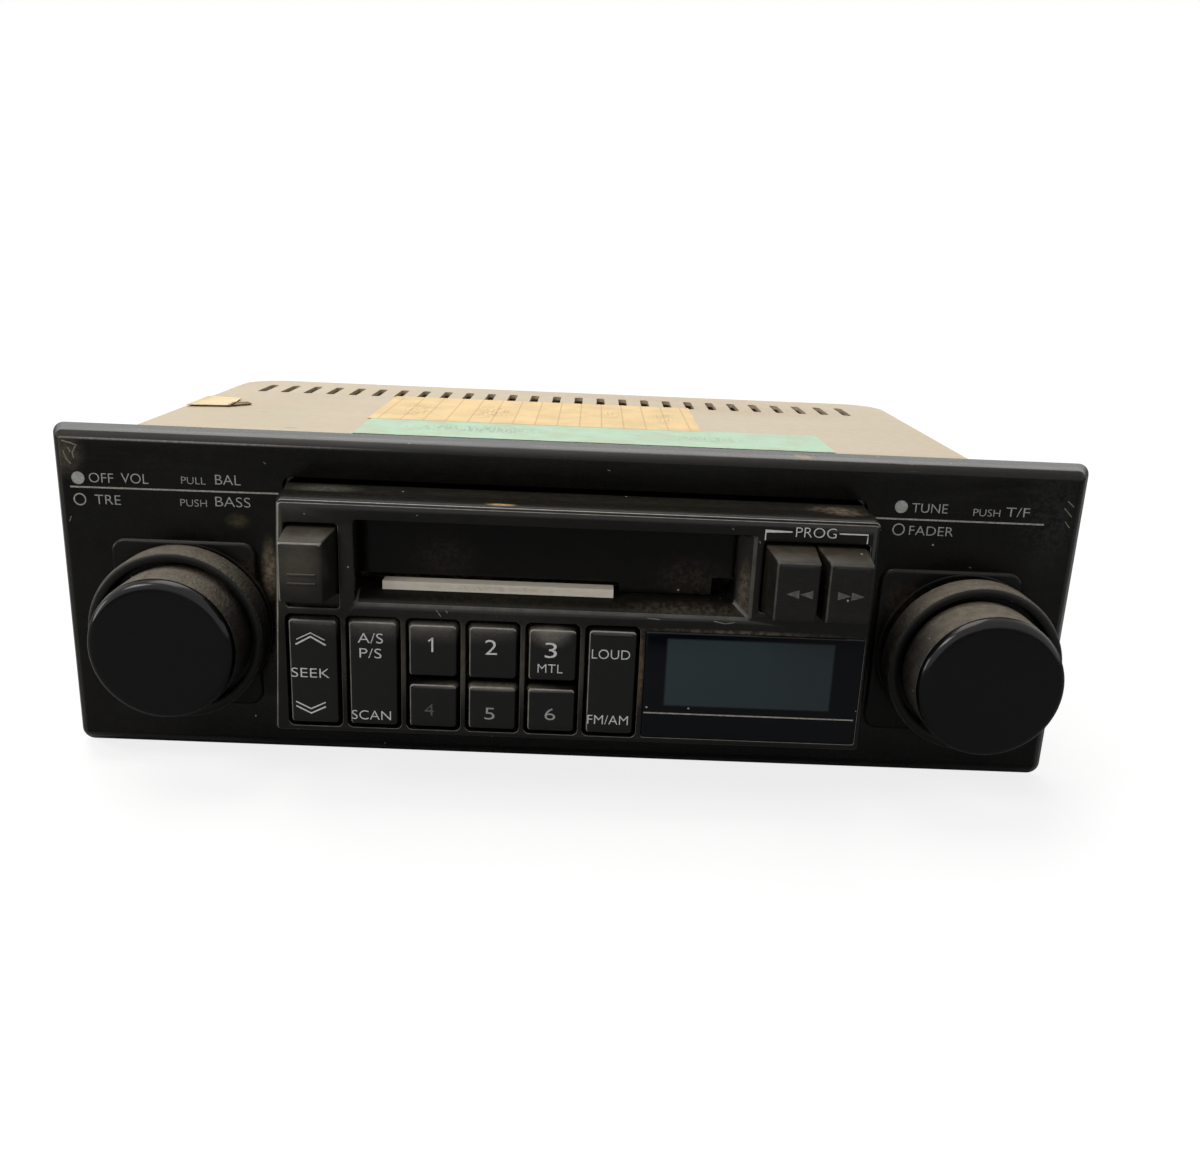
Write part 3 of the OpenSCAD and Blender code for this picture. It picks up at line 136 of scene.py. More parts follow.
def turned(name, x, z, profile, material, segments=96, smooth_angle=32):
    """A piece turned round an axis along Y, from (radius, y) points."""
    bm = bmesh.new()
    rows = []
    for radius, y in profile:
        if radius < 1e-6:
            rows.append([bm.verts.new(mm(x, y, z))])
        else:
            rows.append([
                bm.verts.new(mm(x + radius * math.cos(a), y, z + radius * math.sin(a)))
                for a in (2 * math.pi * i / segments for i in range(segments))
            ])
    for a, b in zip(rows, rows[1:]):
        for i in range(segments):
            j = (i + 1) % segments
            if len(a) == 1 and len(b) == 1:
                continue
            if len(a) == 1:
                bm.faces.new((a[0], b[i], b[j]))
            elif len(b) == 1:
                bm.faces.new((a[i], b[0], a[j]))
            else:
                bm.faces.new((a[i], b[i], b[j], a[j]))
    return finish_mesh(name, bm, material, smooth_angle)


def repaint(piece, material, chosen):
    """Gives another material to the faces that chosen picks."""
    materials = piece.data.materials
    if material.name not in materials:
        materials.append(material)
    for face in piece.data.polygons:
        if chosen(face):
            face.material_index = materials.find(material.name)


def repaint_lit_edges(piece, material, flattest, steepest):
    """Gives another material to the faces of its top and left edges, the sides the light falls on,
    that lean between two angles. A pale material there is a painted highlight.
    """
    def lit_edge_face(face):
        lean = math.degrees(math.acos(max(min(-face.normal.y, 1), -1)))
        return flattest < lean < steepest and (face.normal.z > 0.2 or face.normal.x < -0.25)

    repaint(piece, material, lit_edge_face)


def dull_top(piece, material):
    """Gives the upward faces of the first material one with a duller gloss."""
    repaint(piece, material, lambda face: face.material_index == 0 and face.normal.z > 0.65)


def carve(piece, cutters, operation="DIFFERENCE"):
    """Cuts solids out of a piece, or joins them to it, and keeps the result as its mesh."""
    for cutter in cutters:
        change = piece.modifiers.new("carve", "BOOLEAN")
        change.operation = operation
        change.solver = "EXACT"
        change.object = cutter
    bpy.context.view_layer.update()
    evaluated = piece.evaluated_get(bpy.context.evaluated_depsgraph_get())
    carved = bpy.data.meshes.new_from_object(evaluated)
    piece.modifiers.clear()
    old = piece.data
    piece.data = carved
    bpy.data.meshes.remove(old)
    for cutter in cutters:
        bpy.data.objects.remove(cutter)
    smooth_by_angle(carved, 32)
    return piece


def flared_hole(box, y0, y1, r, lip):
    """A cutter through a wall from y0 to y1, opened out at the front so that its lip is round."""
    profile = [(-lip, y0 - 1)]
    for i in range(4):
        a = math.radians(90 - 30 * i)
        profile.append((-lip * (1 - math.cos(a)), y0 + lip * (1 - math.sin(a))))
    profile.append((0, y1))
    return slab("hole", box, r, profile, None)


def flat_shape(name, outlines, y, material, body, thickness=0.06):
    """A thin printed shape on a face that looks to the front, from (x, z) outlines."""
    bm = bmesh.new()
    for outline in outlines:
        front = [bm.verts.new(mm(x, y - thickness, z)) for x, z in outline]
        back = [bm.verts.new(mm(x, y, z)) for x, z in outline]
        bm.faces.new(front)
        bm.faces.new(list(reversed(back)))
        for i in range(len(front)):
            j = (i + 1) % len(front)
            bm.faces.new((front[i], back[i], back[j], front[j]))
    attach(finish_mesh(name, bm, material), body)


def stroke(points, width):
    """Outline of a line of even width through the points."""
    left, right = [], []
    for i, (x, z) in enumerate(points):
        x0, z0 = points[max(i - 1, 0)]
        x1, z1 = points[min(i + 1, len(points) - 1)]
        dx, dz = x1 - x0, z1 - z0
        length = math.hypot(dx, dz)
        nx, nz = -dz / length, dx / length
        half = width / 2
        if 0 < i < len(points) - 1:
            ax, az = x - points[i - 1][0], z - points[i - 1][1]
            along = math.hypot(ax, az)
            half /= max(abs((-az / along) * nx + (ax / along) * nz), 0.4)
        left.append((x + nx * half, z + nz * half))
        right.append((x - nx * half, z - nz * half))
    return left + right[::-1]


def disc_outline(x, z, r, n=28):
    return [(x + r * math.cos(2 * math.pi * i / n), z + r * math.sin(2 * math.pi * i / n))
            for i in range(n)]


# Shared effects.

def plug(socket, value):
    """Links a socket to another node's output, or gives it a value of its own."""
    if hasattr(value, "is_linked"):
        socket.id_data.links.new(value, socket)
    else:
        socket.default_value = value


def set_inputs(made, **values):
    for key, value in values.items():
        plug(made.inputs[key.replace("_", " ")], value)


def maths(tree):
    """A short way to add math nodes to a tree."""
    def m(operation, a, b=None, clamp=False):
        made = tree.nodes.new("ShaderNodeMath")
        made.operation = operation
        made.use_clamp = clamp
        plug(made.inputs[0], a)
        if b is not None:
            plug(made.inputs[1], b)
        return made.outputs[0]

    return m


def mixer(tree):
    """A short way to add colour mixes to a tree. A colour is three numbers or an output."""
    def mix(factor, a, b):
        made = tree.nodes.new("ShaderNodeMix")
        made.data_type = "RGBA"
        for slot, value in ((0, factor), (6, a), (7, b)):
            plug(made.inputs[slot], (*value, 1) if isinstance(value, tuple) else value)
        return made.outputs[2]

    return mix


def new_group(name, inputs, outputs):
    """A node group whose sockets are numbers, with its first and last node."""
    group = bpy.data.node_groups.new(name, "ShaderNodeTree")
    for label, value in inputs.items():
        socket = group.interface.new_socket(label, in_out="INPUT", socket_type="NodeSocketFloat")
        socket.default_value = value
    for label in outputs:
        group.interface.new_socket(label, in_out="OUTPUT", socket_type="NodeSocketFloat")
    return group, group.nodes.new("NodeGroupInput"), group.nodes.new("NodeGroupOutput")


def band(tree, value, low, high):
    """0 below low, 1 above high, smooth between."""
    made = tree.nodes.new("ShaderNodeMapRange")
    made.interpolation_type = "SMOOTHSTEP"
    for slot, given in enumerate((value, low, high)):
        plug(made.inputs[slot], given)
    return made.outputs[0]


def place_vector(tree, stretch=(1, 1, 1)):
    """The surface's own place in millimetres, stretched along each axis."""
    scaled = tree.nodes.new("ShaderNodeMapping")
    scaled.inputs[3].default_value = tuple(1000 * s for s in stretch)
    plug(scaled.inputs[0], tree.nodes.new("ShaderNodeTexCoord").outputs["Object"])
    return scaled.outputs[0]


def split(tree, vector):
    """The X, Y and Z of a vector."""
    parts = tree.nodes.new("ShaderNodeSeparateXYZ")
    plug(parts.inputs[0], vector)
    return parts.outputs


def noise_value(tree, vector, scale, detail=4, rough=0.55):
    made = tree.nodes.new("ShaderNodeTexNoise")
    set_inputs(made, Vector=vector, Scale=scale, Detail=detail, Roughness=rough)
    return made.outputs[0]


def make_dust():
    """Dust that lies on upward faces and in specks everywhere."""
    group, start, end = new_group("settled_dust", {"Amount": 0.5, "Specks": 0.5},
                                  ["Film", "Specks"])
    m = maths(group)
    place = place_vector(group)
    normal = group.nodes.new("ShaderNodeNewGeometry").outputs["Normal"]
    up = band(group, split(group, normal)[2], 0.35, 0.95)
    cloud = band(group, noise_value(group, place, 0.55, 6, 0.7), 0.25, 0.8)
    uneven = m("ADD", m("MULTIPLY", cloud, 0.6), 0.4)
    film = m("MULTIPLY", m("MULTIPLY", up, uneven), start.outputs["Amount"], clamp=True)
    cell = group.nodes.new("ShaderNodeTexVoronoi")
    set_inputs(cell, Vector=place, Scale=0.42)
    dot = m("LESS_THAN", cell.outputs["Distance"], 0.075)
    pick = group.nodes.new("ShaderNodeSeparateColor")
    plug(pick.inputs[0], cell.outputs["Color"])
    few = m("GREATER_THAN", pick.outputs[0], m("SUBTRACT", 1.0, start.outputs["Specks"]))
    set_inputs(end, Film=film, Specks=m("MULTIPLY", dot, few))
    return group


def make_haze():
    """Uneven gloss from handling: broad smears, and fine wipe marks that run along X."""
    group, start, end = new_group("handled_gloss", {"Base": 0.3, "Spread": 0.1}, ["Roughness"])
    m = maths(group)
    broad = noise_value(group, place_vector(group, (0.6, 1, 1)), 0.06, 5, 0.6)
    fine = noise_value(group, place_vector(group, (0.15, 1, 1.4)), 0.9, 3, 0.6)
    both = m("ADD", m("MULTIPLY", broad, 0.7), m("MULTIPLY", fine, 0.3))
    off = m("MULTIPLY", m("SUBTRACT", band(group, both, 0.3, 0.7), 0.5), start.outputs["Spread"])
    set_inputs(end, Roughness=m("ADD", start.outputs["Base"], off))
    return group


def make_grain():
    """Fine moulded grain: a height for bump and a mottled mask."""
    group, start, end = new_group("moulded_grain", {"Scale": 3.0}, ["Height", "Mottle"])
    place = place_vector(group)
    mottle = band(group, noise_value(group, place, 0.5, 5, 0.65), 0.35, 0.68)
    set_inputs(end, Height=noise_value(group, place, start.outputs["Scale"], 3, 0.5),
               Mottle=mottle)
    return group


def make_spot():
    """A soft-edged patch round one place, broken up by noise."""
    group, start, end = new_group(
        "local_mark", {"X": 0.0, "Y": 0.0, "Z": 0.0, "Half X": 1.0, "Half Y": 1.0,
                       "Half Z": 1.0, "Break": 0.5}, ["Mask"])
    m = maths(group)
    own = group.nodes.new("ShaderNodeTexCoord").outputs["Object"]
    square = None
    for key, shift, part in zip("XYZ", (0.0, FACE_Y, MIDDLE_Z), split(group, own)):
        local = m("SUBTRACT", m("MULTIPLY", m("SUBTRACT", part, shift), 1000),
                  start.outputs[key])
        scaled = m("DIVIDE", local, start.outputs["Half " + key])
        squared = m("MULTIPLY", scaled, scaled)
        square = squared if square is None else m("ADD", square, squared)
    near = m("SUBTRACT", 1.0, band(group, m("SQRT", square), 0.1, 1.0))
    cloud = band(group, noise_value(group, place_vector(group), 1.1, 6, 0.68), 0.40, 0.62)
    loss = m("MULTIPLY", start.outputs["Break"], m("SUBTRACT", 1.0, cloud))
    set_inputs(end, Mask=m("MULTIPLY", near, m("SUBTRACT", 1.0, loss), clamp=True))
    return group


DUST, HAZE, GRAIN, SPOT = make_dust(), make_haze(), make_grain(), make_spot()


def place_group(tree, group, **values):
    """Adds a group with its values to a material, and returns its outputs."""
    made = tree.nodes.new("ShaderNodeGroup")
    made.node_tree = group
    set_inputs(made, **values)
    return made.outputs


def new_material(name):
    material = bpy.data.materials.new(name)
    material.use_nodes = True
    tree = material.node_tree
    return material, tree, tree.nodes["Principled BSDF"]


def spots(tree, marks):
    """The mask and colour of each local mark: x, y, z, half sizes, break-up, colour, strength."""
    m = maths(tree)
    for x, y, z, hx, hy, hz, broken, mark, strength in marks:
        spot = place_group(tree, SPOT, X=x, Y=y, Z=z, Half_X=hx, Half_Y=hy, Half_Z=hz,
                           Break=broken)
        yield m("MULTIPLY", spot["Mask"], strength), mark


def bump(tree, surface, height, strength, depth):
    """Roughens a surface with a height, over a depth in millimetres."""
    made = tree.nodes.new("ShaderNodeBump")
    set_inputs(made, Height=height, Strength=strength, Distance=depth / 1000)
    plug(surface.inputs["Normal"], made.outputs[0])


def plastic(name, color, rough, spread=0.1, grain=0.0, grain_scale=3.0, grain_depth=0.1,
            dust=0.3, specks=0.15, mottle=0.25, marks=(), specular=0.2,
            dust_color=(0.13, 0.112, 0.083)):
    """Moulded plastic with grain, uneven gloss, settled dust and local marks."""
    material, tree, surface = new_material(name)
    m, mix = maths(tree), mixer(tree)
    gloss = place_group(tree, HAZE, Base=rough, Spread=spread)["Roughness"]
    moulded = place_group(tree, GRAIN, Scale=grain_scale)
    dusty = place_group(tree, DUST, Amount=dust, Specks=specks)
    lighter = tuple(min(c * 1.7 + 0.003, 1) for c in color)
    tone = mix(m("MULTIPLY", moulded["Mottle"], mottle), color, lighter)
    for amount, mark in spots(tree, marks):
        tone = mix(amount, tone, mark)
        gloss = m("ADD", gloss, m("MULTIPLY", amount, 0.3))
    tone = mix(dusty["Film"], tone, dust_color)
    tone = mix(dusty["Specks"], tone, (0.42, 0.40, 0.36))
    gloss = m("ADD", gloss, m("MULTIPLY", dusty["Film"], 0.35), clamp=True)
    set_inputs(surface, Base_Color=tone, Roughness=gloss, Specular_IOR_Level=specular)
    if grain:
        bump(tree, surface, moulded["Height"], grain, grain_depth)
    return material


def duller(material, share):
    """A copy for upward faces, which lose a share of their gloss under the dust."""
    dusted = material.copy()
    dusted.name = material.name + "_top"
    surface = dusted.node_tree.nodes["Principled BSDF"]
    surface.inputs["Specular IOR Level"].default_value *= 1 - share
    return dusted


def metal(name, color, rough, stain=(0.3, 0.22, 0.14), stain_amount=0.3, metallic=1.0,
          dust=0.3, brushed=0.0, marks=()):
    """Bare or plated metal with stains, uneven gloss and dust."""
    material, tree, surface = new_material(name)
    m, mix = maths(tree), mixer(tree)
    gloss = place_group(tree, HAZE, Base=rough, Spread=0.15)["Roughness"]
    mottled = place_group(tree, GRAIN, Scale=1.2)
    film = place_group(tree, DUST, Amount=dust)["Film"]
    tone = mix(m("MULTIPLY", mottled["Mottle"], stain_amount), color, stain)
    for amount, mark in spots(tree, marks):
        tone = mix(amount, tone, mark)
    set_inputs(surface, Base_Color=mix(film, tone, (0.5, 0.45, 0.37)), Metallic=metallic,
               Roughness=m("ADD", gloss, m("MULTIPLY", film, 0.3), clamp=True))
    height = mottled["Height"]
    if brushed:
        height = noise_value(tree, place_vector(tree, (0.05, 1, 1)), brushed, 2, 0.5)
    bump(tree, surface, height, 0.25, 0.1)
    return material


BROWN = (0.075, 0.060, 0.034)
CHIP = (0.10, 0.082, 0.06)

plate_black = plastic(
    "plate_black", (0.0050, 0.0046, 0.0038), 0.26, spread=0.14, grain=0.08, grain_scale=2.4,
    dust=0.10, specks=0.05, mottle=0.35, specular=0.22,
    marks=[
        # The next three marks are brownish grime near the left pad, towards the nosepiece, made
        # lighter as a painted reflection too.
        (-58.6, 0, 16.3, 2.8, 4, 1.8, 0.6, BROWN, 1.0),
        (-53.3, 0, 7.5, 1.9, 4, 7.5, 0.6, (0.27, 0.215, 0.145), 1.0),
        (-53.2, 0, -6, 2.4, 4, 9, 0.9, (0.10, 0.08, 0.055), 0.7),
        # This mark is a painted highlight: a pale line along the lower edge of the top bevel, over
        # the left part.
        (-72, 0.06, 29.95, 52, 0.4, 0.30, 0.4, (0.26, 0.25, 0.22), 1.0),
        (-88, 0, 27, 4.5, 4, 5.0, 0.5, CHIP, 0.8),
        (20, 1.0, 30.8, 75, 1.2, 0.5, 0.9, CHIP, 0.7),
        (59, 0.6, 30.6, 3.5, 1.5, 0.8, 0.8, (0.4, 0.33, 0.24), 0.8),
        (40.5, 4, 31.1, 2.5, 3, 0.6, 0.7, (0.55, 0.38, 0.2), 0.9),
        (84, 0, 22, 8, 4, 12, 0.9, (0.022, 0.022, 0.022), 0.6),
    ])
bevel_black = plastic(
    "bevel_black", (0.0044, 0.0040, 0.0033), 0.42, spread=0.12, dust=0.12, specks=0.04,
    mottle=0.35, specular=0.17)
# A matte black that paints shade. It goes on faces behind the plate's front and on the nosepiece's
# top behind the plate, which are seen through narrow gaps.
painted_shade_black = plastic(
    "painted_shade_black", (0.0010, 0.0010, 0.0009), 0.9, dust=0.0, specks=0.0, specular=0.0)
nose_black = plastic(
    "nose_black", (0.0052, 0.0046, 0.0034), 0.22, spread=0.12, grain=0.08, grain_scale=2.6,
    dust=0.04, specks=0.16, mottle=0.4, specular=0.35,
    marks=[
        # The first mark makes the left end of the nosepiece's front lighter: a brownish film, and
        # painted light falling from the left.
        (-45, -15, 14, 16, 2, 14, 0.2, (0.036, 0.031, 0.021), 0.8),
        (-14, -15, -3, 38, 1.6, 11, 0.3, (0.085, 0.073, 0.053), 0.9),
        (20, -13.4, 7.6, 16, 3.0, 1.6, 0.8, (0.10, 0.08, 0.055), 0.6),
        (-12, -13.6, 7.6, 26, 2.6, 1.4, 0.6, (0.03, 0.025, 0.018), 0.5),
        (29.6, -13.0, 11, 1.6, 3, 8, 0.7, (0.13, 0.105, 0.07), 0.9),
        (-11.3, -12.9, 24.1, 3.2, 1.1, 0.6, 0.6, (0.72, 0.45, 0.20), 1.0),
        (46, -8, 23.9, 5, 4, 1.5, 0.8, (0.20, 0.155, 0.11), 0.9),
        (12.8, -15.1, -3, 0.7, 1.4, 9, 0.7, (0.17, 0.10, 0.05), 0.9),
        (-34, -15.1, 3.6, 12, 1.2, 0.9, 0.8, (0.05, 0.04, 0.025), 0.8),
        (30, -15.1, 4.4, 22, 1.0, 0.6, 0.8, (0.15, 0.11, 0.07), 0.9),
    ])
nose_top = duller(nose_black, 0.85)
nose_rear = plastic(
    "nose_rear", (0.010, 0.0095, 0.0075), 0.6, dust=0.04, specks=0.16, mottle=0.6, specular=0.0,
    marks=[(-42, -4, 23.8, 8, 4, 1.0, 0.5, (0.08, 0.083, 0.07), 0.9),
           (10, -7.6, 23.7, 50, 0.8, 0.8, 0.8, (0.10, 0.085, 0.065), 0.8),
           (45, -5, 23.7, 6, 4, 1.5, 0.8, (0.16, 0.13, 0.09), 0.9)])
key_black = plastic(
    "key_black", (0.0034, 0.0032, 0.0028), 0.15, spread=0.10, dust=0.05, specks=0.06,
    mottle=0.25, specular=0.5,
    # Its marks are painted reflections and highlights: the upper parts of the keys from seek to
    # the third preset lighter, the third preset lighter still, and a pale band along the top of
    # the lower preset keys.
    marks=[(-24, -16, 4.4, 30, 4, 4.5, 0.2, (0.085, 0.078, 0.063), 0.9),
           (-2.5, -16, 3.2, 4.5, 4, 3.2, 0.3, (0.20, 0.185, 0.155), 0.8),
           (-12, -16, -6.9, 15, 4, 0.9, 0.3, (0.20, 0.18, 0.14), 0.8)])
# A pale tone for the faces of lit top and left edges: a painted highlight.
edge_highlight = plastic(
    "edge_highlight", (0.16, 0.15, 0.13), 0.3, dust=0.0, specks=0.0, mottle=0.9, specular=0.5)
# A dimmer painted highlight, for lit edges inside the mouth and on the rewind and forward buttons.
edge_dim_highlight = plastic(
    "edge_dim_highlight", (0.045, 0.042, 0.035), 0.4, dust=0.0, specks=0.0, mottle=0.9, specular=0.3)
button_black = plastic(
    "button_black", (0.0085, 0.0078, 0.0060), 0.30, spread=0.12, grain=0.10, dust=0.45,
    specks=0.10, mottle=0.4, specular=0.35,
    # The mark makes the eject button's face lighter: a brownish film, and painted light falling
    # from the left.
    marks=[(-43, -20, 15, 6, 3, 6, 0.2, (0.075, 0.066, 0.048), 0.9)])
button_top = duller(button_black, 0.5)
knob_grain = plastic(
    "knob_grain", (0.024, 0.021, 0.017), 0.5, spread=0.12, grain=1.0, grain_scale=1.7,
    grain_depth=0.35, dust=0.9, specks=0.4, mottle=1.0, specular=0.4,
    dust_color=(0.20, 0.172, 0.13))
knob_cap = plastic(
    "knob_cap", (0.0016, 0.0016, 0.0017), 0.17, spread=0.06, dust=0.08, specks=0.06,
    mottle=0.2, specular=0.32)
ring_face = plastic(
    "ring_face", (0.0062, 0.0058, 0.0050), 0.38, spread=0.12, grain=0.2, dust=0.3,
    specks=0.10, specular=0.25)
pad_black = plastic(
    "pad_black", (0.0046, 0.0043, 0.0036), 0.30, spread=0.12, grain=0.10, dust=0.15,
    specks=0.08, mottle=0.35,
    marks=[(-57, -0.6, 4, 4, 2, 10, 0.7, (0.05, 0.035, 0.022), 0.7),
           (60, -0.6, 6, 6, 2, 6, 0.7, (0.06, 0.042, 0.028), 0.8)])
window_black = plastic(
    "window_black", (0.0013, 0.0021, 0.0038), 0.07, spread=0.04, dust=0.1, specks=0.08,
    mottle=0.15, specular=0.25)
door_smoke = plastic(
    "door_smoke", (0.0034, 0.0028, 0.0021), 0.16, spread=0.08, dust=0.15, specks=0.12,
    mottle=0.4, specular=0.2,
    marks=[(-21, -9.2, 14, 8, 2, 6, 0.6, (0.02, 0.015, 0.009), 0.8),
           (21, -9.2, 12, 9, 2, 5, 0.8, (0.035, 0.026, 0.015), 0.8)])
guide_white = plastic(
    "guide_white", (0.86, 0.78, 0.63), 0.4, dust=0.25, specks=0.1, mottle=0.25,
    marks=[(-12, -11, 9.5, 22, 3, 0.7, 0.8, (0.34, 0.28, 0.2), 0.5)])
steel_plated = metal(
    "steel_plated", (0.54, 0.45, 0.315), 0.5, stain=(0.44, 0.36, 0.25), stain_amount=0.4,
    metallic=0.3, dust=0.2,
    marks=[(45, 108, 24.9, 45, 18, 1, 0.9, (0.33, 0.22, 0.13), 0.4),
           (20, 122, 24.9, 60, 8, 1, 0.9, (0.36, 0.22, 0.13), 0.5),
           (-62, 49, 24.9, 2.4, 1.3, 1, 0.7, (0.16, 0.12, 0.08), 0.8),
           (-74, 70, 24.9, 3.0, 1.6, 1, 0.7, (0.22, 0.17, 0.12), 0.6),
           (-70, 100, 24.9, 25, 12, 1, 0.9, (0.36, 0.29, 0.21), 0.4),
           (-74, 66, 24.9, 26, 34, 1, 0.4, (0.44, 0.37, 0.235), 0.5)])
steel_bright = metal("steel_bright", (0.62, 0.62, 0.63), 0.28, stain=(0.4, 0.38, 0.35),
                     brushed=0.8)
brass_turned = metal("brass_turned", (0.62, 0.46, 0.2), 0.3, stain=(0.35, 0.24, 0.1))
rubber = plastic("rubber", (0.02, 0.019, 0.018), 0.7, grain=0.3, dust=0.4)
nylon = plastic("nylon", (0.62, 0.6, 0.53), 0.42, dust=0.2, mottle=0.2)
board_green = plastic("board_green", (0.04, 0.13, 0.05), 0.35, dust=0.4, mottle=0.5)
board_brown = plastic("board_brown", (0.28, 0.17, 0.07), 0.5, dust=0.3, mottle=0.4)
moulded_black = plastic("moulded_black", (0.02, 0.02, 0.02), 0.5, grain=0.3, dust=0.3)


# Printed marks.

def ink(name, color, wear):
    """Printing ink that is rubbed thin in places, so the plastic shows through it."""
    material, tree, surface = new_material(name)
    m, mix = maths(tree), mixer(tree)
    rubbed = band(tree, noise_value(tree, place_vector(tree), 1.6, 5, 0.7), 0.5 - wear / 2, 0.75)
    set_inputs(surface, Base_Color=mix(m("MULTIPLY", rubbed, wear), color, (0.03, 0.03, 0.03)),
               Roughness=m("ADD", m("MULTIPLY", rubbed, 0.2), 0.4))
    return material


ink_grey = ink("ink_grey", (0.50, 0.50, 0.46), 0.45)
ink_white = ink("ink_white", (0.82, 0.82, 0.80), 0.25)
ink_faint = ink("ink_faint", (0.22, 0.21, 0.19), 0.9)
ink_line = ink("ink_line", (0.55, 0.52, 0.45), 0.6)
scuff_pale = ink("scuff_pale", (0.40, 0.37, 0.30), 0.8)


def paper(name, color, line_color=(0, 0, 0), pitch=0.0, marks=()):
    """A plain label with faint ruled lines, stained at random and smeared in places."""
    material, tree, surface = new_material(name)
    m, mix = maths(tree), mixer(tree)
    place = place_vector(tree)
    aged = band(tree, noise_value(tree, place, 0.12, 6, 0.65), 0.35, 0.7)
    tone = color
    if pitch:
        phase = m("FRACT", m("DIVIDE", split(tree, place)[0], pitch))
        tone = mix(m("MULTIPLY", m("LESS_THAN", phase, 0.06), 0.55), tone, line_color)
    tone = mix(m("MULTIPLY", aged, 0.35), tone, (0.42, 0.31, 0.17))
    streaks = band(tree, noise_value(tree, place_vector(tree, (1.6, 0.25, 1)), 1.2, 4, 0.7),
                   0.48, 0.56)
    for amount, mark in spots(tree, [(x, y, TOP, hx, hy, 4.0, 0.6, mark, strength)
                                     for x, y, hx, hy, mark, strength in marks]):
        tone = mix(m("MULTIPLY", amount, streaks), tone, mark)
    fibre = noise_value(tree, place, 2.0, 3, 0.6)
    set_inputs(surface, Base_Color=tone, Roughness=m("ADD", m("MULTIPLY", fibre, 0.3), 0.45))
    return material


TOP = node_mm("top_cover")[1][2]
FADED = (0.30, 0.17, 0.06)
label_yellow = paper(
    "label_yellow", (0.84, 0.61, 0.29), (0.45, 0.27, 0.10), 5.2,
    marks=[(-40, 82, 5, 15, FADED, 0.7), (-21, 84, 8, 14, FADED, 0.7),
           (8, 88, 5, 10, FADED, 0.4), (21, 84, 4, 14, FADED, 0.6)])
label_green = paper(
    "label_green", (0.46, 0.66, 0.49),
    marks=[(-22, 57, 22, 6, (0.10, 0.24, 0.18), 0.8), (30, 56, 16, 5, (0.12, 0.28, 0.20), 0.5)])
tape_cream = paper("tape_cream", (0.86, 0.70, 0.42))
tape_brown = paper("tape_brown", (0.16, 0.09, 0.045))


def show_area(material, box, color, soft):
    """Lights one rectangle of a glossy window with its own colour, soft at the edges."""
    tree = material.node_tree
    base = tree.nodes["Principled BSDF"].inputs["Base Color"]
    m, mix = maths(tree), mixer(tree)
    own = split(tree, tree.nodes.new("ShaderNodeTexCoord").outputs["Object"])
    inside = None
    for axis, shift, low, high in ((0, 0.0, box[0], box[1]), (2, MIDDLE_Z, box[2], box[3])):
        local = m("MULTIPLY", m("SUBTRACT", own[axis], shift), 1000)
        off = m("ABSOLUTE", m("SUBTRACT", local, (low + high) / 2))
        half = (high - low) / 2
        one = m("SUBTRACT", 1.0, band(tree, off, half - soft, half + soft))
        inside = one if inside is None else m("MULTIPLY", inside, one)
    plug(base, mix(inside, base.links[0].from_socket, color))


DISPLAY = (17.1, 45.2, -9.1, 2.9)
show_area(window_black, DISPLAY, (0.034, 0.049, 0.052), 0.25)


def dress(piece, body, node):
    """Puts a piece on its body, in the place of a solid."""
    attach(piece, body)
    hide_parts(node)


# Trim plate and pads.

nose_low, nose_high = node_mm("nose_piece")
NOSE = (nose_low[0], nose_high[0], nose_low[2], nose_high[2])
FRONT = nose_low[1]
INSIDE = FRONT + 2.0
CHASSIS_FRONT = nose_high[1]
plate_low, plate_high = node_mm("trim_plate")
PLATE = (plate_low[0], plate_high[0], plate_low[2], plate_high[2])


def grown(box, by):
    return (box[0] - by, box[1] + by, box[2] - by, box[3] + by)


def around(x, z, w, h):
    return (x - w / 2, x + w / 2, z - h / 2, z + h / 2)


SHAFT_Z = -3.0
# The middle of each pad and of its shaft.
PADS = {"left": (-68.3, -68.1), "right": (68.3, 71.6)}
PAD_HOLE = (22.5, 27.8)
PAD_RIM = 1.5

PLATE_BACK = plate_high[1]
BEVEL_BACK = 1.05
END_SLOPE, LOW_SLOPE = 4.2, 4.6


def plate_ring(inset, y):
    """Outline of the plate at y. Its ends and lower edge slope out towards the back."""
    slope = min((PLATE_BACK - y) / (PLATE_BACK - BEVEL_BACK), 1)
    outline = rect_ring(PLATE[0] + END_SLOPE * slope + inset, PLATE[1] - END_SLOPE * slope - inset,
                        PLATE[2] + LOW_SLOPE * slope + inset, PLATE[3] - inset,
                        max(2.25 - 0.8 * slope - inset, 0.4), 8)
    return [mm(x, y, z) for x, z in outline]


bm = bmesh.new()
add_loft(bm, [plate_ring(inset, y) for inset, y in (
    (1.5, 0.0), (1.25, 0.02), (1.02, 0.12), (0.12, 1.0), (0.02, 1.2), (0.0, 1.45),
    (0.0, 8.9), (0.1, 9.1), (0.35, 9.2), (1.95, 9.2), (2.15, 9.1), (2.2, 8.9),
    (2.2, 2.4), (2.4, 2.2))])
plate = finish_mesh("plate_face", bm, plate_black)
openings = [flared_hole((NOSE[0] - 2.15, NOSE[1] + 0.25, NOSE[2] - 0.4, NOSE[3] + 0.4),
                        0, 10, 1.4, 0.1)]
for pad, shaft in PADS.values():
    openings.append(flared_hole(around(pad, SHAFT_Z, *PAD_HOLE), 0, 10, 2.0, 0.1))
carve(plate, openings)
# The plate's lit top and left bevel faces take a slightly darker, duller black.
repaint_lit_edges(plate, bevel_black, 30, 60)


def behind_face(face):
    """A face behind the plate's front that looks inwards or back."""
    x, y, z = as_mm(face.center)
    return y > 0.3 and (face.normal.y > 0.5 or face.normal.x * x + face.normal.z * z < 0)


# Painted shade on the faces behind the plate's front.
repaint(plate, painted_shade_black, behind_face)
dress(plate, "unit", "trim_plate")

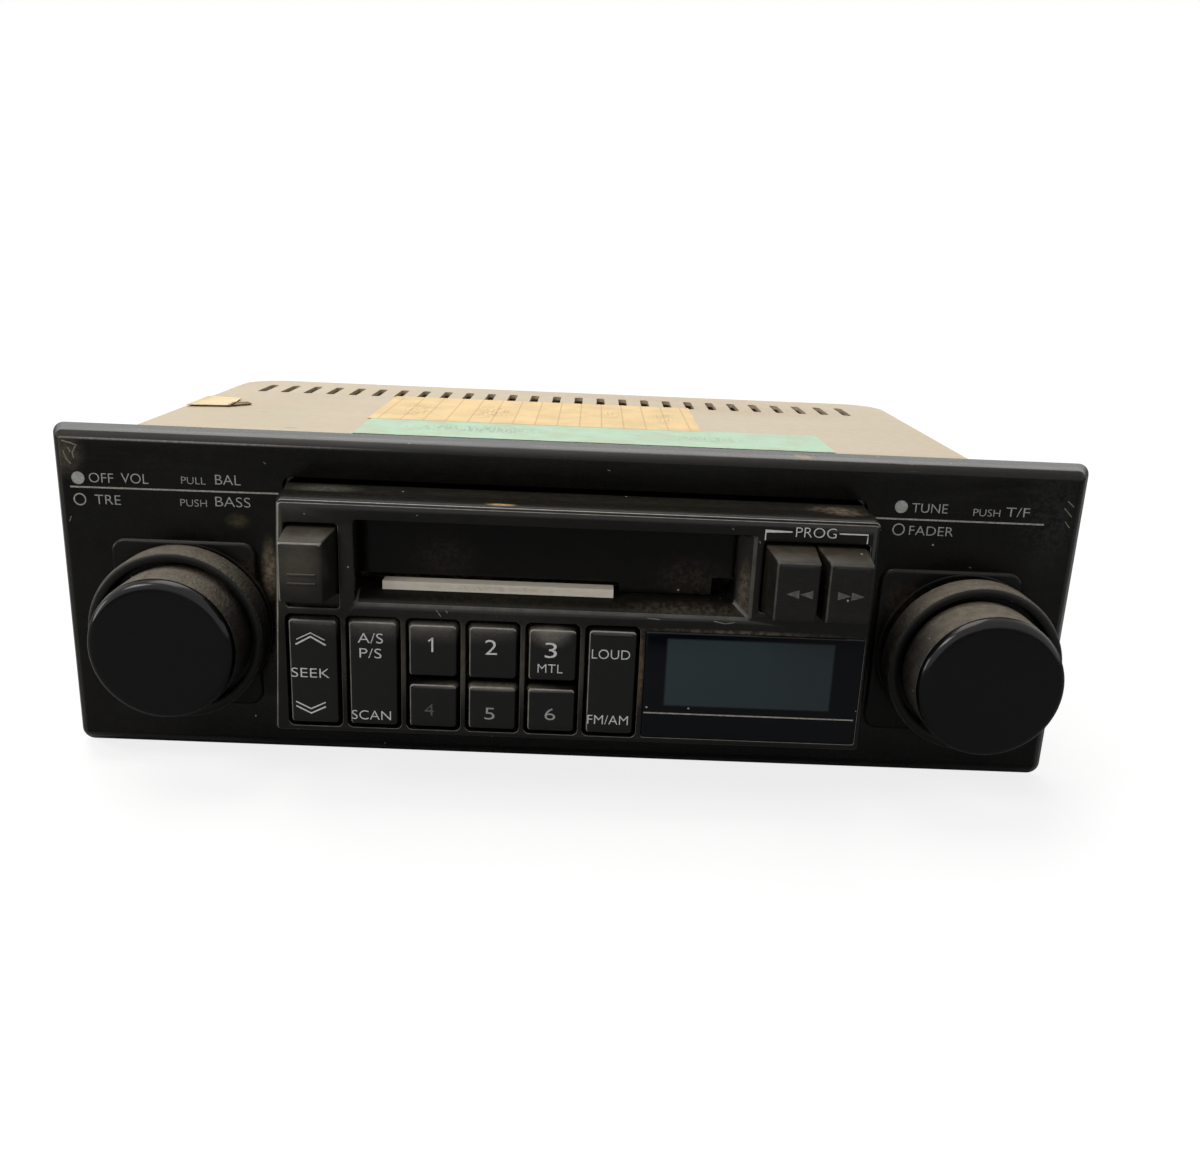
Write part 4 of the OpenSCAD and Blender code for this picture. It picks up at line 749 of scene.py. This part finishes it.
for side, (pad, shaft) in PADS.items():
    piece = slab(side + "_pad", grown(around(pad, SHAFT_Z, *PAD_HOLE), PAD_RIM), 2.5, [
        (0.5, -0.6), (0.36, -0.58), (0.1, -0.4), (0.0, -0.25), (0.0, 0.0), (1.5, 0.0),
        (1.5, 3.4), (1.7, 3.6)], pad_black, steps=8)
    carve(piece, [turned("seat", shaft, SHAFT_Z, [(0, -2), (15.05, -2), (15.05, -0.05),
                                                   (4.9, -0.05), (4.9, 5), (0, 5)], None)])
    collar = turned(side + "_collar", shaft, SHAFT_Z, [
        (8.7, 0.2), (8.6, -0.1), (8.6, -0.45), (8.75, -0.6), (9.3, -0.6), (9.5, -0.5),
        (9.6, -0.3), (14.35, -0.3), (14.45, -0.5), (14.6, -0.6), (14.95, -0.6), (15.12, -0.5),
        (15.2, -0.3), (15.2, 0.2), (8.7, 0.2)], pad_black)
    for part in (piece, collar):
        dress(part, "unit", side + "_adapter")

# Nosepiece.

BAY = (-36.0, 28.0)
MOUTH = (-35.05, 30.4)
FLOOR, ROOF = 8.7, 21.1
KEY_X = [-42.1 + 10 * i for i in range(6)]
KEY_HALF = 4.4
KEY_Z = (-15.0, 4.4)
KEY_GAP, KEY_GAP_Z = 0.2, 0.35
BUTTON_X = {"eject": -42.0, "rewind": 36.3, "forward": 44.8}
BUTTON_Z = (8.4, 19.6)
BUTTON_HALF, BUTTON_GAP = 4.1, 0.3
BUTTON_FRONT = FRONT - 5.4
WINDOW = (13.4, 50.15, -15.2, 4.1)
GLASS_HOLE = (15.55, 47.95, -9.4, 4.0)
FINGER_HOLLOW = (-46.4, -37.6, 5.9, 14.0)

NOSE_EDGE = [(0.60, 0.0), (0.48, 0.06), (0.20, 0.46), (0.12, 0.62), (0.0, 1.2), (0.0, 6.8),
             (0.08, 6.95), (0.45, 7.0)]


def nose_ring(inset, y):
    """Outline of the nosepiece at y. Its sides lean, and splay out towards the plate."""
    t = min((y - FRONT) / -FRONT, 1)
    points = []
    for x, z in rect_ring(NOSE[0] + inset, NOSE[1] - inset, NOSE[2] + inset, NOSE[3] - inset,
                          1.0 - inset, 6):
        h = (z - NOSE[2]) / (NOSE[3] - NOSE[2])
        left, right = (1.75 * h - 1.0, -2.2), (-0.4 - 0.55 * h, 0.3)
        if y < CHASSIS_FRONT - 0.3:
            front, back = left if x < 0 else right
            x += front * (1 - t) + back * t
        points.append(mm(x, y, z))
    return points


bm = bmesh.new()
add_loft(bm, [nose_ring(inset, FRONT + y) for inset, y in NOSE_EDGE]
         + [nose_ring(0.45, y) for y in (-0.4, CHASSIS_FRONT - 0.4, CHASSIS_FRONT - 0.2,
                                         CHASSIS_FRONT)])
bmesh.ops.triangulate(bm, faces=bm.faces)
nose = finish_mesh("nose_front", bm, nose_black)
cavity = slab("cavity", grown(NOSE, -1.2), 0.3, [(0, INSIDE), (0, CHASSIS_FRONT + 1)], None)
carve(nose, [cavity])
cheeks = slab("cheeks", (BAY[0] - 1.2, MOUTH[1] + 0.6, FLOOR - 2.6, NOSE[3] - 1.0), 0.3,
              [(0, INSIDE - 0.5), (0, -5.0)], None)
carve(nose, [cheeks], "UNION")

mouth = bmesh.new()
rings = []
for y, x0, x1, z0, z1 in (
        (FRONT - 1, MOUTH[0] - 0.35, MOUTH[1] + 0.35, FLOOR - 2.15, ROOF + 0.3),
        (FRONT, MOUTH[0] - 0.35, MOUTH[1] + 0.35, FLOOR - 2.15, ROOF + 0.3),
        (FRONT + 0.12, MOUTH[0] - 0.12, MOUTH[1] + 0.1, FLOOR - 1.9, ROOF + 0.1),
        (FRONT + 0.35, MOUTH[0], MOUTH[1] - 0.25, FLOOR - 1.6, ROOF),
        (FRONT + 3.0, MOUTH[0], BAY[1], FLOOR, ROOF),
        (FRONT + 3.4, MOUTH[0], BAY[1], FLOOR, ROOF)):
    rings.append([mm(x, y, z) for x, z in rect_ring(x0, x1, z0, z1, 0.6)])
add_loft(mouth, rings)
cuts = [finish_mesh("mouth", mouth),
        slab("bay", (BAY[0], BAY[1], FLOOR, NOSE[3] - 1.2), 0.2,
             [(0, FRONT + 2.6), (0, -4)], None)]
for x in KEY_X:
    cuts.append(flared_hole((x - KEY_HALF - KEY_GAP, x + KEY_HALF + KEY_GAP,
                             KEY_Z[0] - KEY_GAP_Z, KEY_Z[1] + KEY_GAP_Z),
                            FRONT, INSIDE + 1, 1.0, 0.12))
for x0, x1 in ((BUTTON_X["eject"], BUTTON_X["eject"]),
               (BUTTON_X["rewind"], BUTTON_X["forward"])):
    cuts.append(flared_hole((x0 - BUTTON_HALF - BUTTON_GAP, x1 + BUTTON_HALF + BUTTON_GAP,
                             BUTTON_Z[0] - BUTTON_GAP, BUTTON_Z[1] + 0.75),
                            FRONT, INSIDE + 1, 0.5, 0.18))
cuts.append(flared_hole(WINDOW, FRONT, FRONT + 1.7, 0.4, 0.12))
cuts.append(slab("glass_hole", GLASS_HOLE, 0.2, [(0, FRONT + 1), (0, INSIDE + 1)], None))
cuts.append(flared_hole(FINGER_HOLLOW, FRONT, FRONT + 1.2, 0.5, 0.18))
for cut in cuts:
    carve(nose, [cut])
# Painted highlights on the lit top and left edges of the nosepiece and of its openings.
for flattest, steepest in ((20, 50), (60, 67)):
    repaint_lit_edges(nose, edge_highlight, flattest, steepest)
dull_top(nose, nose_top)


def highlight_in_mouth(face):
    x, y, z = as_mm(face.center)
    return (nose.data.materials[face.material_index] == edge_highlight
            and MOUTH[0] - 1 < x < MOUTH[1] + 1 and FLOOR - 3 < z < ROOF + 1)


def top_behind(face, y):
    """A face on top of the nosepiece, behind y."""
    x, face_y, z = as_mm(face.center)
    return face_y > y and z > 20 and face.normal.z > 0.9


# Inside the mouth the painted highlight is dimmer.
repaint(nose, edge_dim_highlight, highlight_in_mouth)
repaint(nose, nose_rear, lambda face: top_behind(face, -8))
# Painted shade on the nosepiece's top where it goes in behind the plate.
repaint(nose, painted_shade_black, lambda face: top_behind(face, -0.4))
dress(nose, "unit", "nose_piece")

window = slab("display_glass", grown(WINDOW, -0.06), 0.4,
              [(0.25, FRONT - 0.02), (0.1, FRONT + 0.02), (0.0, FRONT + 0.12),
               (0.0, FRONT + 1.7)], window_black)
dress(window, "unit", "display_window")

# Keys and tape buttons.

KEY_FRONT = FRONT - 0.6
CROWN = [(2.6, -0.10), (1.5, -0.07), (0.85, 0.0), (0.68, 0.05), (0.5, 0.2), (0.42, 0.36),
         (0.2, 0.95), (0.06, 1.25), (0.0, 1.6)]


def key(name, x, z0, z1, body, node):
    profile = [(inset, KEY_FRONT + 0.12 + y) for inset, y in CROWN] + [(0.0, INSIDE + 3.5)]
    piece = slab(name, (x - KEY_HALF, x + KEY_HALF, z0, z1), 1.1, profile, key_black, steps=6)
    # Painted highlight on the key's lit top and left edges.
    repaint_lit_edges(piece, edge_highlight, 35, 50)
    dress(piece, body, node)


for name, column in (("seek", 0), ("scan", 1), ("band", 5)):
    key(name + "_key_face", KEY_X[column], KEY_Z[0], KEY_Z[1], name + "_key", name + "_rocker")
PRESET_TOP = (-5.7, 4.2)
PRESET_LOW = (-15.0, -6.4)
for number in range(6):
    z0, z1 = PRESET_TOP if number < 3 else PRESET_LOW
    tag = str(number + 1)
    key("preset_face_" + tag, KEY_X[2 + number % 3], z0, z1, "preset_key_" + tag,
        "preset_button_" + tag)


def tape_button(name, x, side, body, node):
    """A block whose top and one side are bevelled back from its face."""
    x0, x1 = x - BUTTON_HALF, x + BUTTON_HALF
    rings = []
    for t, inset, y in (
            (0.0, 1.2, BUTTON_FRONT), (0.0, 0.42, BUTTON_FRONT), (0.0, 0.33, BUTTON_FRONT + 0.03),
            (0.0, 0.08, BUTTON_FRONT + 0.24), (0.03, 0.0, BUTTON_FRONT + 0.4), (1.0, 0.0, FRONT),
            (1.0, 0.0, INSIDE + 3.6)):
        back_off = 1.1 * (1 - t)
        ring_x0 = x0 + inset + (back_off if side < 0 else 0)
        ring_x1 = x1 - inset - (back_off if side > 0 else 0)
        outline = rect_ring(ring_x0, ring_x1, BUTTON_Z[0] + inset,
                            BUTTON_Z[1] - inset - back_off, 0.35)
        rings.append([mm(px, y, pz) for px, pz in outline])
    bm = bmesh.new()
    add_loft(bm, rings)
    add_loft(bm, slab_rings((x - 1.5, x + 1.5, 11.5, 16.5), 0.2,
                            [(0, INSIDE + 3.5), (0, 10.5)], 2))
    piece = finish_mesh(name, bm, button_black)
    # Painted highlights on the lit top and left edges, paler on the eject button.
    repaint_lit_edges(piece, edge_highlight if name == "eject_face" else edge_dim_highlight, 30, 50)
    dull_top(piece, button_top)
    dress(piece, body, node)


for name, side in (("eject", 1), ("rewind", -1), ("forward", -1)):
    tape_button(name + "_face", BUTTON_X[name], side, name + "_key", name + "_button")
for i, z in enumerate((13.2, 11.7)):
    rib = slab("eject_rib_%d" % (i + 1),
               (BUTTON_X["eject"] - 2.55, BUTTON_X["eject"] + 2.05, z - 0.2, z + 0.2), 0.15,
               [(0.1, BUTTON_FRONT - 0.3), (0.0, BUTTON_FRONT - 0.2), (0.0, BUTTON_FRONT + 0.05)],
               button_black, 3)
    dress(rib, "eject_key", "eject_button")

# Knobs and rings.

KNOB_R, CAP_ROUND = 12.45, 1.45
RING_R = 15.25


def knob(side, x, front, rear, hub, body, node):
    barrel = turned(side + "_knob_barrel", x, SHAFT_Z, [
        (0, hub), (4.2, hub), (4.2, front + 1.8), (10.75, front + 1.8), (10.75, rear),
        (KNOB_R - 0.15, rear), (KNOB_R, rear - 0.15), (KNOB_R, front + 1.75),
        (KNOB_R - 0.1, front + 1.6), (11.0, front + 1.5), (0, front + 1.5)], knob_grain, 128)
    rounded = [(KNOB_R - 0.05 - CAP_ROUND * (1 - math.cos(math.radians(a))),
                front + 1.49 - CAP_ROUND * math.sin(math.radians(a))) for a in range(0, 81, 10)]
    cap = turned(side + "_knob_cap", x, SHAFT_Z, [
        (0, front + 1.55), (KNOB_R - 0.17, front + 1.55), (KNOB_R - 0.05, front + 1.45),
        *rounded, (10.3, front + 0.02), (7.5, front), (0, front)], knob_cap, 128)
    for part in (barrel, cap):
        dress(part, body, node)


def ring(side, x, front, rear, body, node):
    piece = turned(side + "_ring_side", x, SHAFT_Z, [
        (3.0, rear), (14.9, rear), (RING_R - 0.1, rear - 0.1), (RING_R, rear - 0.35),
        (RING_R, front + 0.75), (RING_R - 0.08, front + 0.4), (RING_R - 0.3, front + 0.14),
        (14.6, front), (13.85, front), (13.6, front + 0.12), (13.5, front + 0.4),
        (13.5, rear - 2.1), (13.3, rear - 1.9), (5.0, rear - 1.9), (5.0, front), (3.0, front),
        (3.0, rear)], knob_grain, 128)

    def on_front(face):
        face_x, y, z = as_mm(face.center)
        return math.hypot(face_x - x, z - SHAFT_Z) < RING_R - 0.4

    repaint(piece, ring_face, on_front)
    dress(piece, body, node)


knob("volume", PADS["left"][1], -15.0, -4.9, -9.4, "volume_plunger", "volume_knob")
ring("tone", PADS["left"][1], -7.6, -2.3, "tone_plunger", "tone_ring")
knob("tuning", PADS["right"][1], -17.9, -8.1, -12.6, "tuning_plunger", "tuning_knob")
ring("fader", PADS["right"][1], -9.3, -4.0, "fader_turner", "fader_ring")

# Printing.

def words(name, text, x0, x1, z0, z1, y, material, body, bold=-0.03):
    """Words on a face that looks to the front, between x0 and x1, with capitals z0 to z1."""
    curve = bpy.data.curves.new(name, "FONT")
    curve.body = text
    curve.size = (z1 - z0) / 0.7 / 1000
    curve.extrude = 0.00003
    curve.offset = bold / 1000
    curve.resolution_u = 4
    curve.materials.append(material)
    piece = bpy.data.objects.new(name, curve)
    bpy.context.collection.objects.link(piece)
    bpy.context.view_layer.update()
    corners = [Vector(c) for c in piece.bound_box]
    wide = (max(c.x for c in corners) - min(c.x for c in corners)) * 1000
    start = min(c.x for c in corners) * 1000
    squeeze = (x1 - x0) / wide
    piece.matrix_world = (Matrix.Translation(mm(x0 - start * squeeze, y - 0.04, z0))
                          @ Matrix.Rotation(math.radians(90), 4, "X")
                          @ Matrix.Diagonal((squeeze, 1, 1, 1)))
    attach(piece, body)


PLATE_WORDS = [
    ("off", "OFF", -84.0, -79.8, 22.2, 23.95), ("vol", "VOL", -78.4, -73.7, 22.3, 24.1),
    ("treble", "TRE", -83.3, -78.8, 18.35, 20.1),
    ("pull", "PULL", -68.0, -63.8, 22.6, 23.9), ("bal", "BAL", -62.1, -57.7, 22.7, 24.5),
    ("push", "PUSH", -68.4, -63.8, 18.6, 19.9),
    ("bass", "BASS", -62.3, -56.2, 18.8, 20.6),
    ("tune", "TUNE", 59.7, 66.0, 22.8, 24.5),
    ("push_right", "PUSH", 70.6, 75.3, 22.6, 23.9),
    ("both", "T/F", 76.3, 80.5, 22.7, 24.4),
    ("fader", "FADER", 59.7, 67.5, 18.7, 20.4),
]
for name, text, x0, x1, z0, z1 in PLATE_WORDS:
    words("mark_" + name, text, x0, x1, z0, z1, 0, ink_grey, "unit")
for side, x0, z0, x1 in (("left", -87.4, 21.3, -51.2), ("right", 52.6, 21.5, 83.3)):
    flat_shape("plate_line_" + side, [stroke([(x0, z0), (x1, 21.5)], 0.28)], 0, ink_line, "unit")
for side, x, z in (("left", -85.9, 22.9), ("right", 57.8, 23.7)):
    flat_shape("dot_" + side, [disc_outline(x, z, 1.12)], 0, ink_grey, "unit")
for side, x, z in (("left", -85.9, 19.1), ("right", 57.8, 19.6)):
    circle = turned("circle_" + side, x, z, [(1.1, 0), (1.1, -0.06), (0.88, -0.06), (0.88, 0),
                                             (1.1, 0)], ink_grey, 36)
    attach(circle, "unit")

flat_shape("bracket", [stroke([(31.9, 20.6), (31.9, 22.1), (36.2, 22.1)], 0.2),
                       stroke([(43.9, 22.1), (48.55, 22.1), (48.55, 20.6)], 0.2)],
           FRONT, ink_white, "unit")
words("mark_prog", "PROG", 36.8, 43.4, 21.3, 23.0, FRONT, ink_white, "unit", bold=-0.04)
flat_shape("window_line", [stroke([(13.7, -10.6), (49.6, -10.6)], 0.22)], FRONT, ink_line,
           "unit")


def double_arrow(name, x, z, point, body):
    """Two arrowheads side by side."""
    heads = []
    for shift in (-2.2, 0.0):
        a, b = (x + shift * point, x + (shift + 2.1) * point)
        heads.append([(a, z - 0.7), (b, z), (a, z + 0.7)])
    flat_shape(name, heads, BUTTON_FRONT, ink_faint, body)


double_arrow("arrows_back", 37.2, 13.2, -1, "rewind_key")
double_arrow("arrows_on", 45.6, 13.2, 1, "forward_key")

for name, x, half, ends, tip, width in (
        ("up_thin", -42.4, 2.35, 0.5, 1.7, 0.16), ("up_thick", -42.4, 2.5, -0.4, 1.05, 0.26),
        ("down_thin", -42.7, 2.5, -10.7, -11.95, 0.2),
        ("down_thick", -42.7, 2.5, -11.5, -12.75, 0.22)):
    flat_shape("chevron_" + name, [stroke([(x - half, ends), (x, tip), (x + half, ends)], width)],
               KEY_FRONT, ink_white, "seek_key")

KEY_WORDS = [
    ("seek", "SEEK", -45.8, -39.4, -6.25, -4.55, "seek_key"),
    ("store", "A/S", -34.55, -30.35, 0.3, 2.1, "scan_key"),
    ("preset", "P/S", -34.3, -30.65, -2.35, -0.6, "scan_key"),
    ("scan", "SCAN", -35.8, -29.2, -13.55, -11.85, "scan_key"),
    ("loud", "LOUD", 4.5, 10.9, -0.9, 0.8, "band_key"),
    ("band", "FM/AM", 4.2, 11.1, -12.8, -11.1, "band_key"),
    ("metal", "MTL", -4.5, -0.3, -3.8, -2.2, "preset_key_3"),
]
for name, text, x0, x1, z0, z1, body in KEY_WORDS:
    words("mark_" + name, text, x0, x1, z0, z1, KEY_FRONT, ink_white, body)
for digit, x0, x1, z0, z1, material in (
        ("2", -13.35, -11.35, -0.95, 1.75, ink_white), ("3", -3.35, -1.35, -1.1, 1.65, ink_white),
        ("4", -23.5, -21.9, -12.4, -10.2, ink_faint), ("5", -13.3, -11.6, -12.7, -10.5, ink_grey),
        ("6", -3.1, -1.3, -12.4, -10.2, ink_grey)):
    words("digit_" + digit, digit, x0, x1, z0, z1, KEY_FRONT, material, "preset_key_" + digit)
flat_shape("digit_1", [stroke([(-22.8, 1.05), (-22.2, 1.5)], 0.24),
                       stroke([(-22.15, 1.65), (-22.15, -0.85)], 0.3)],
           KEY_FRONT, ink_white, "preset_key_1")

# Scuffs: pale scratches and chips as lists of (x, z) points, with their width and face.
SCUFFS = {
    "plate_edge": (0, 0.16, [[(86.9, 25.9), (88.1, 24.9)], [(86.5, 24.6), (88.0, 23.1)],
                             [(87.0, 22.2), (87.9, 21.1)]]),
    "plate_corner": (0, 0.22, [[(-88.2, 29.4), (-86.6, 29.0), (-85.6, 28.6)],
                               [(-85.9, 28.4), (-86.5, 27.3), (-86.3, 26.4)],
                               [(-88.1, 27.6), (-87.6, 26.2), (-86.9, 25.3)],
                               [(-87.2, 28.2), (-86.8, 27.4)]]),
    "plate_face": (0, 0.12, [[(-53.6, 27.0), (-53.2, 26.7)], [(-87.7, 16.0), (-88.1, 15.0)],
                             [(6.0, 28.1), (6.5, 28.0)], [(71.2, 13.2), (71.6, 13.1)]]),
    "nose_face": (FRONT, 0.12, [[(-43.0, 21.9), (-42.7, 21.8)], [(-24.8, 22.4), (-24.5, 22.3)],
                                [(26.4, 22.3), (26.7, 22.1)], [(31.0, 20.4), (31.2, 19.9)]]),
    "nose_lip": (FRONT, 0.14, [[(-21.6, 6.4), (-20.8, 5.2)], [(-20.0, 6.3), (-19.7, 5.9)],
                               [(24.6, 6.3), (26.4, 5.9), (28.0, 6.2)],
                               [(13.5, 6.4), (15.6, 6.2)]]),
}
for name, (y, width, lines) in SCUFFS.items():
    flat_shape("scuff_" + name, [stroke(line, width) for line in lines], y, scuff_pale, "unit",
               0.02)

# Chassis.

NODE_MATERIALS = (
    (steel_plated, "chassis_frame top_cover bottom_cover deck_plate"),
    (steel_bright, "cover_screws rear_stud antenna_socket door_pin cassette_carriage "
                   "carriage_spring head_plate tape_head drive_motor volume_control "
                   "volume_shaft tone_shaft tuning_control tuning_shaft fader_shaft"),
    (brass_turned, "shaft_nuts front_flywheel rear_flywheel motor_pulley"),
    (rubber, "front_pinch_roller rear_pinch_roller drive_belt cable_grommet"),
    (nylon, "front_spindle rear_spindle volume_rotor tone_rotor tuning_rotor"),
    (board_brown, "front_board"), (board_green, "main_board"),
    (moulded_black, "power_amplifier"), (window_black, "display_panel"),
    (door_smoke, "cassette_door"), (guide_white, "cassette_guide"),
)
for material, names in NODE_MATERIALS:
    for name in names.split():
        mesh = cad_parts[name].data
        mesh.materials.clear()
        mesh.materials.append(material)


def label(name, corners, material, curl=0.0):
    """A thin sheet stuck on the top cover, with its corners given as (x, y)."""
    bm = bmesh.new()
    across, along = 24, 10
    a, b, c, d = (Vector(p) for p in corners)

    def spot(i, j, level):
        u, v = i / across, j / along
        p = (a * (1 - u) + b * u) * (1 - v) + (d * (1 - u) + c * u) * v
        ragged = noise.noise(Vector((p.x * 0.15, p.y * 0.15, 3))) * 0.25
        lift = curl * max(0, 0.08 - min(u, 1 - u, v, 1 - v)) / 0.08
        return bm.verts.new(mm(p.x + ragged, p.y + ragged, TOP + level + lift))

    for level, turn in ((0.12, 1), (0.01, -1)):
        grid = [[spot(i, j, level) for j in range(along + 1)] for i in range(across + 1)]
        for row, after in zip(grid, grid[1:]):
            for j in range(along):
                bm.faces.new((row[j], after[j], after[j + 1], row[j + 1])[::turn])
    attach(finish_mesh(name, bm, material), "unit")


label("yellow_label", ((-49, 66), (28.5, 66), (28.5, 105), (-49, 105)), label_yellow, 0.05)
label("green_label", ((-48, 45), (55.5, 45), (55.5, 67), (-48, 67)), label_green, 0.03)
label("tape_scrap", ((-93.3, 73), (-83.5, 75), (-84.8, 88), (-93.4, 89)), tape_cream, 0.35)
label("tape_torn", ((-84.0, 74.5), (-79.6, 79.5), (-81.5, 82.0), (-84.6, 80.5)), tape_brown, 0.3)

# Camera, floor and light.

EYE = mm(2.8, -186.9, 64.8)
PHOTO_WIDTH, FOCAL_PIXELS = 1200, 1092
yaw, pitch, roll = (math.radians(a) for a in (0.83, -16.64, 2.51))
forward = Vector((math.sin(yaw) * math.cos(pitch), math.cos(yaw) * math.cos(pitch),
                  math.sin(pitch)))
right = Vector((math.cos(yaw), -math.sin(yaw), 0))
up = right.cross(forward)
right_rolled = right * math.cos(roll) + up * math.sin(roll)
up_rolled = up * math.cos(roll) - right * math.sin(roll)
eye = bpy.data.cameras.new("photo_camera")
eye.sensor_fit = "HORIZONTAL"
eye.sensor_width = 36
eye.lens = 36 * FOCAL_PIXELS / PHOTO_WIDTH
eye.clip_start = 0.01
eye.clip_end = 20
camera = bpy.data.objects.new("photo_camera", eye)
bpy.context.collection.objects.link(camera)
axes = Matrix((right_rolled, up_rolled, -forward)).transposed().to_4x4()
camera.matrix_world = Matrix.Translation(EYE) @ axes
bpy.context.scene.camera = camera

# The unit leans back on its plate's lower edge and the back edge of the chassis.
CHASSIS_DEPTH = 116.5
rest_front = mm(0, PLATE_BACK, PLATE[2])
rest_back = mm(0, CHASSIS_FRONT + CHASSIS_DEPTH, node_mm("bottom_cover")[0][2])
lean = math.atan2(rest_back.z - rest_front.z, rest_back.y - rest_front.y)


def pale_floor(name):
    """White to the camera, with the object's shadow on it, and fading out away from it."""
    material, tree, surface = new_material(name)
    m, mix = maths(tree), mixer(tree)
    away = tree.nodes.new("ShaderNodeVectorMath")
    away.operation = "LENGTH"
    plug(away.inputs[0], tree.nodes.new("ShaderNodeTexCoord").outputs["Object"])
    far = band(tree, away.outputs["Value"], 0.22, 0.75)
    weave = noise_value(tree, place_vector(tree), 0.05, 3, 0.5)
    near_tone = mix(weave, (0.24, 0.24, 0.24), (0.26, 0.26, 0.26))
    path = tree.nodes.new("ShaderNodeLightPath")
    glow = m("ADD", m("MULTIPLY", far, 1 - FLOOR_GLOW), FLOOR_GLOW)
    set_inputs(surface, Base_Color=mix(far, near_tone, (0.02, 0.02, 0.02)), Roughness=0.9,
               Specular_IOR_Level=0.0, Emission_Color=(1, 1, 1, 1),
               Emission_Strength=m("MULTIPLY", path.outputs["Is Camera Ray"], glow))
    return material


FLOOR_GLOW = 0.82
bm = bmesh.new()
bmesh.ops.create_grid(bm, x_segments=2, y_segments=2, size=3.0)
floor = finish_mesh("floor", bm, pale_floor("pale_floor"))
floor.matrix_world = (Matrix.Translation(rest_front) @ Matrix.Rotation(lean, 4, "X")
                      @ Matrix.Translation((0, 0, -0.00005)))

world = bpy.data.worlds.new("studio")
bpy.context.scene.world = world
world.use_nodes = True
tree = world.node_tree
tree.nodes.clear()
m = maths(tree)
seen, soft = (tree.nodes.new("ShaderNodeBackground") for i in range(2))
set_inputs(seen, Color=(1, 1, 1, 1))
set_inputs(soft, Color=(0.88, 0.91, 0.96, 1), Strength=0.36)
path = tree.nodes.new("ShaderNodeLightPath")
shown = m("MAXIMUM", m("MAXIMUM", path.outputs["Is Camera Ray"], path.outputs["Is Glossy Ray"]),
          path.outputs["Is Transmission Ray"])
blend = tree.nodes.new("ShaderNodeMixShader")
for socket, value in zip(blend.inputs, (shown, soft.outputs[0], seen.outputs[0])):
    plug(socket, value)
plug(tree.nodes.new("ShaderNodeOutputWorld").inputs[0], blend.outputs[0])


def lamp(name, place, aim, size, power, color):
    light = bpy.data.lights.new(name, "AREA")
    light.shape = "RECTANGLE"
    light.size, light.size_y = size
    light.energy = power
    light.color = color
    holder = bpy.data.objects.new(name, light)
    bpy.context.collection.objects.link(holder)
    towards = Vector(aim) - Vector(place)
    holder.matrix_world = (Matrix.Translation(place)
                           @ towards.to_track_quat("-Z", "Y").to_matrix().to_4x4())


lamp("overhead", (-0.15, 0.05, 0.9), (0, 0, 0), (0.9, 0.5), 5, (1.0, 0.97, 0.92))
lamp("front_left", (-0.85, -0.70, 0.85), (0, 0, 0.03), (0.55, 0.35), 5, (1.0, 0.97, 0.92))
lamp("left", (-1.0, -0.25, 0.15), (0, 0, 0.03), (0.3, 0.3), 1.2, (1.0, 0.98, 0.95))
lamp("behind", (-0.1, 0.9, 0.6), (0, 0, 0.03), (1.2, 0.3), 1.0, (1.0, 0.98, 0.95))

scene = bpy.context.scene
scene.view_settings.view_transform = "Standard"
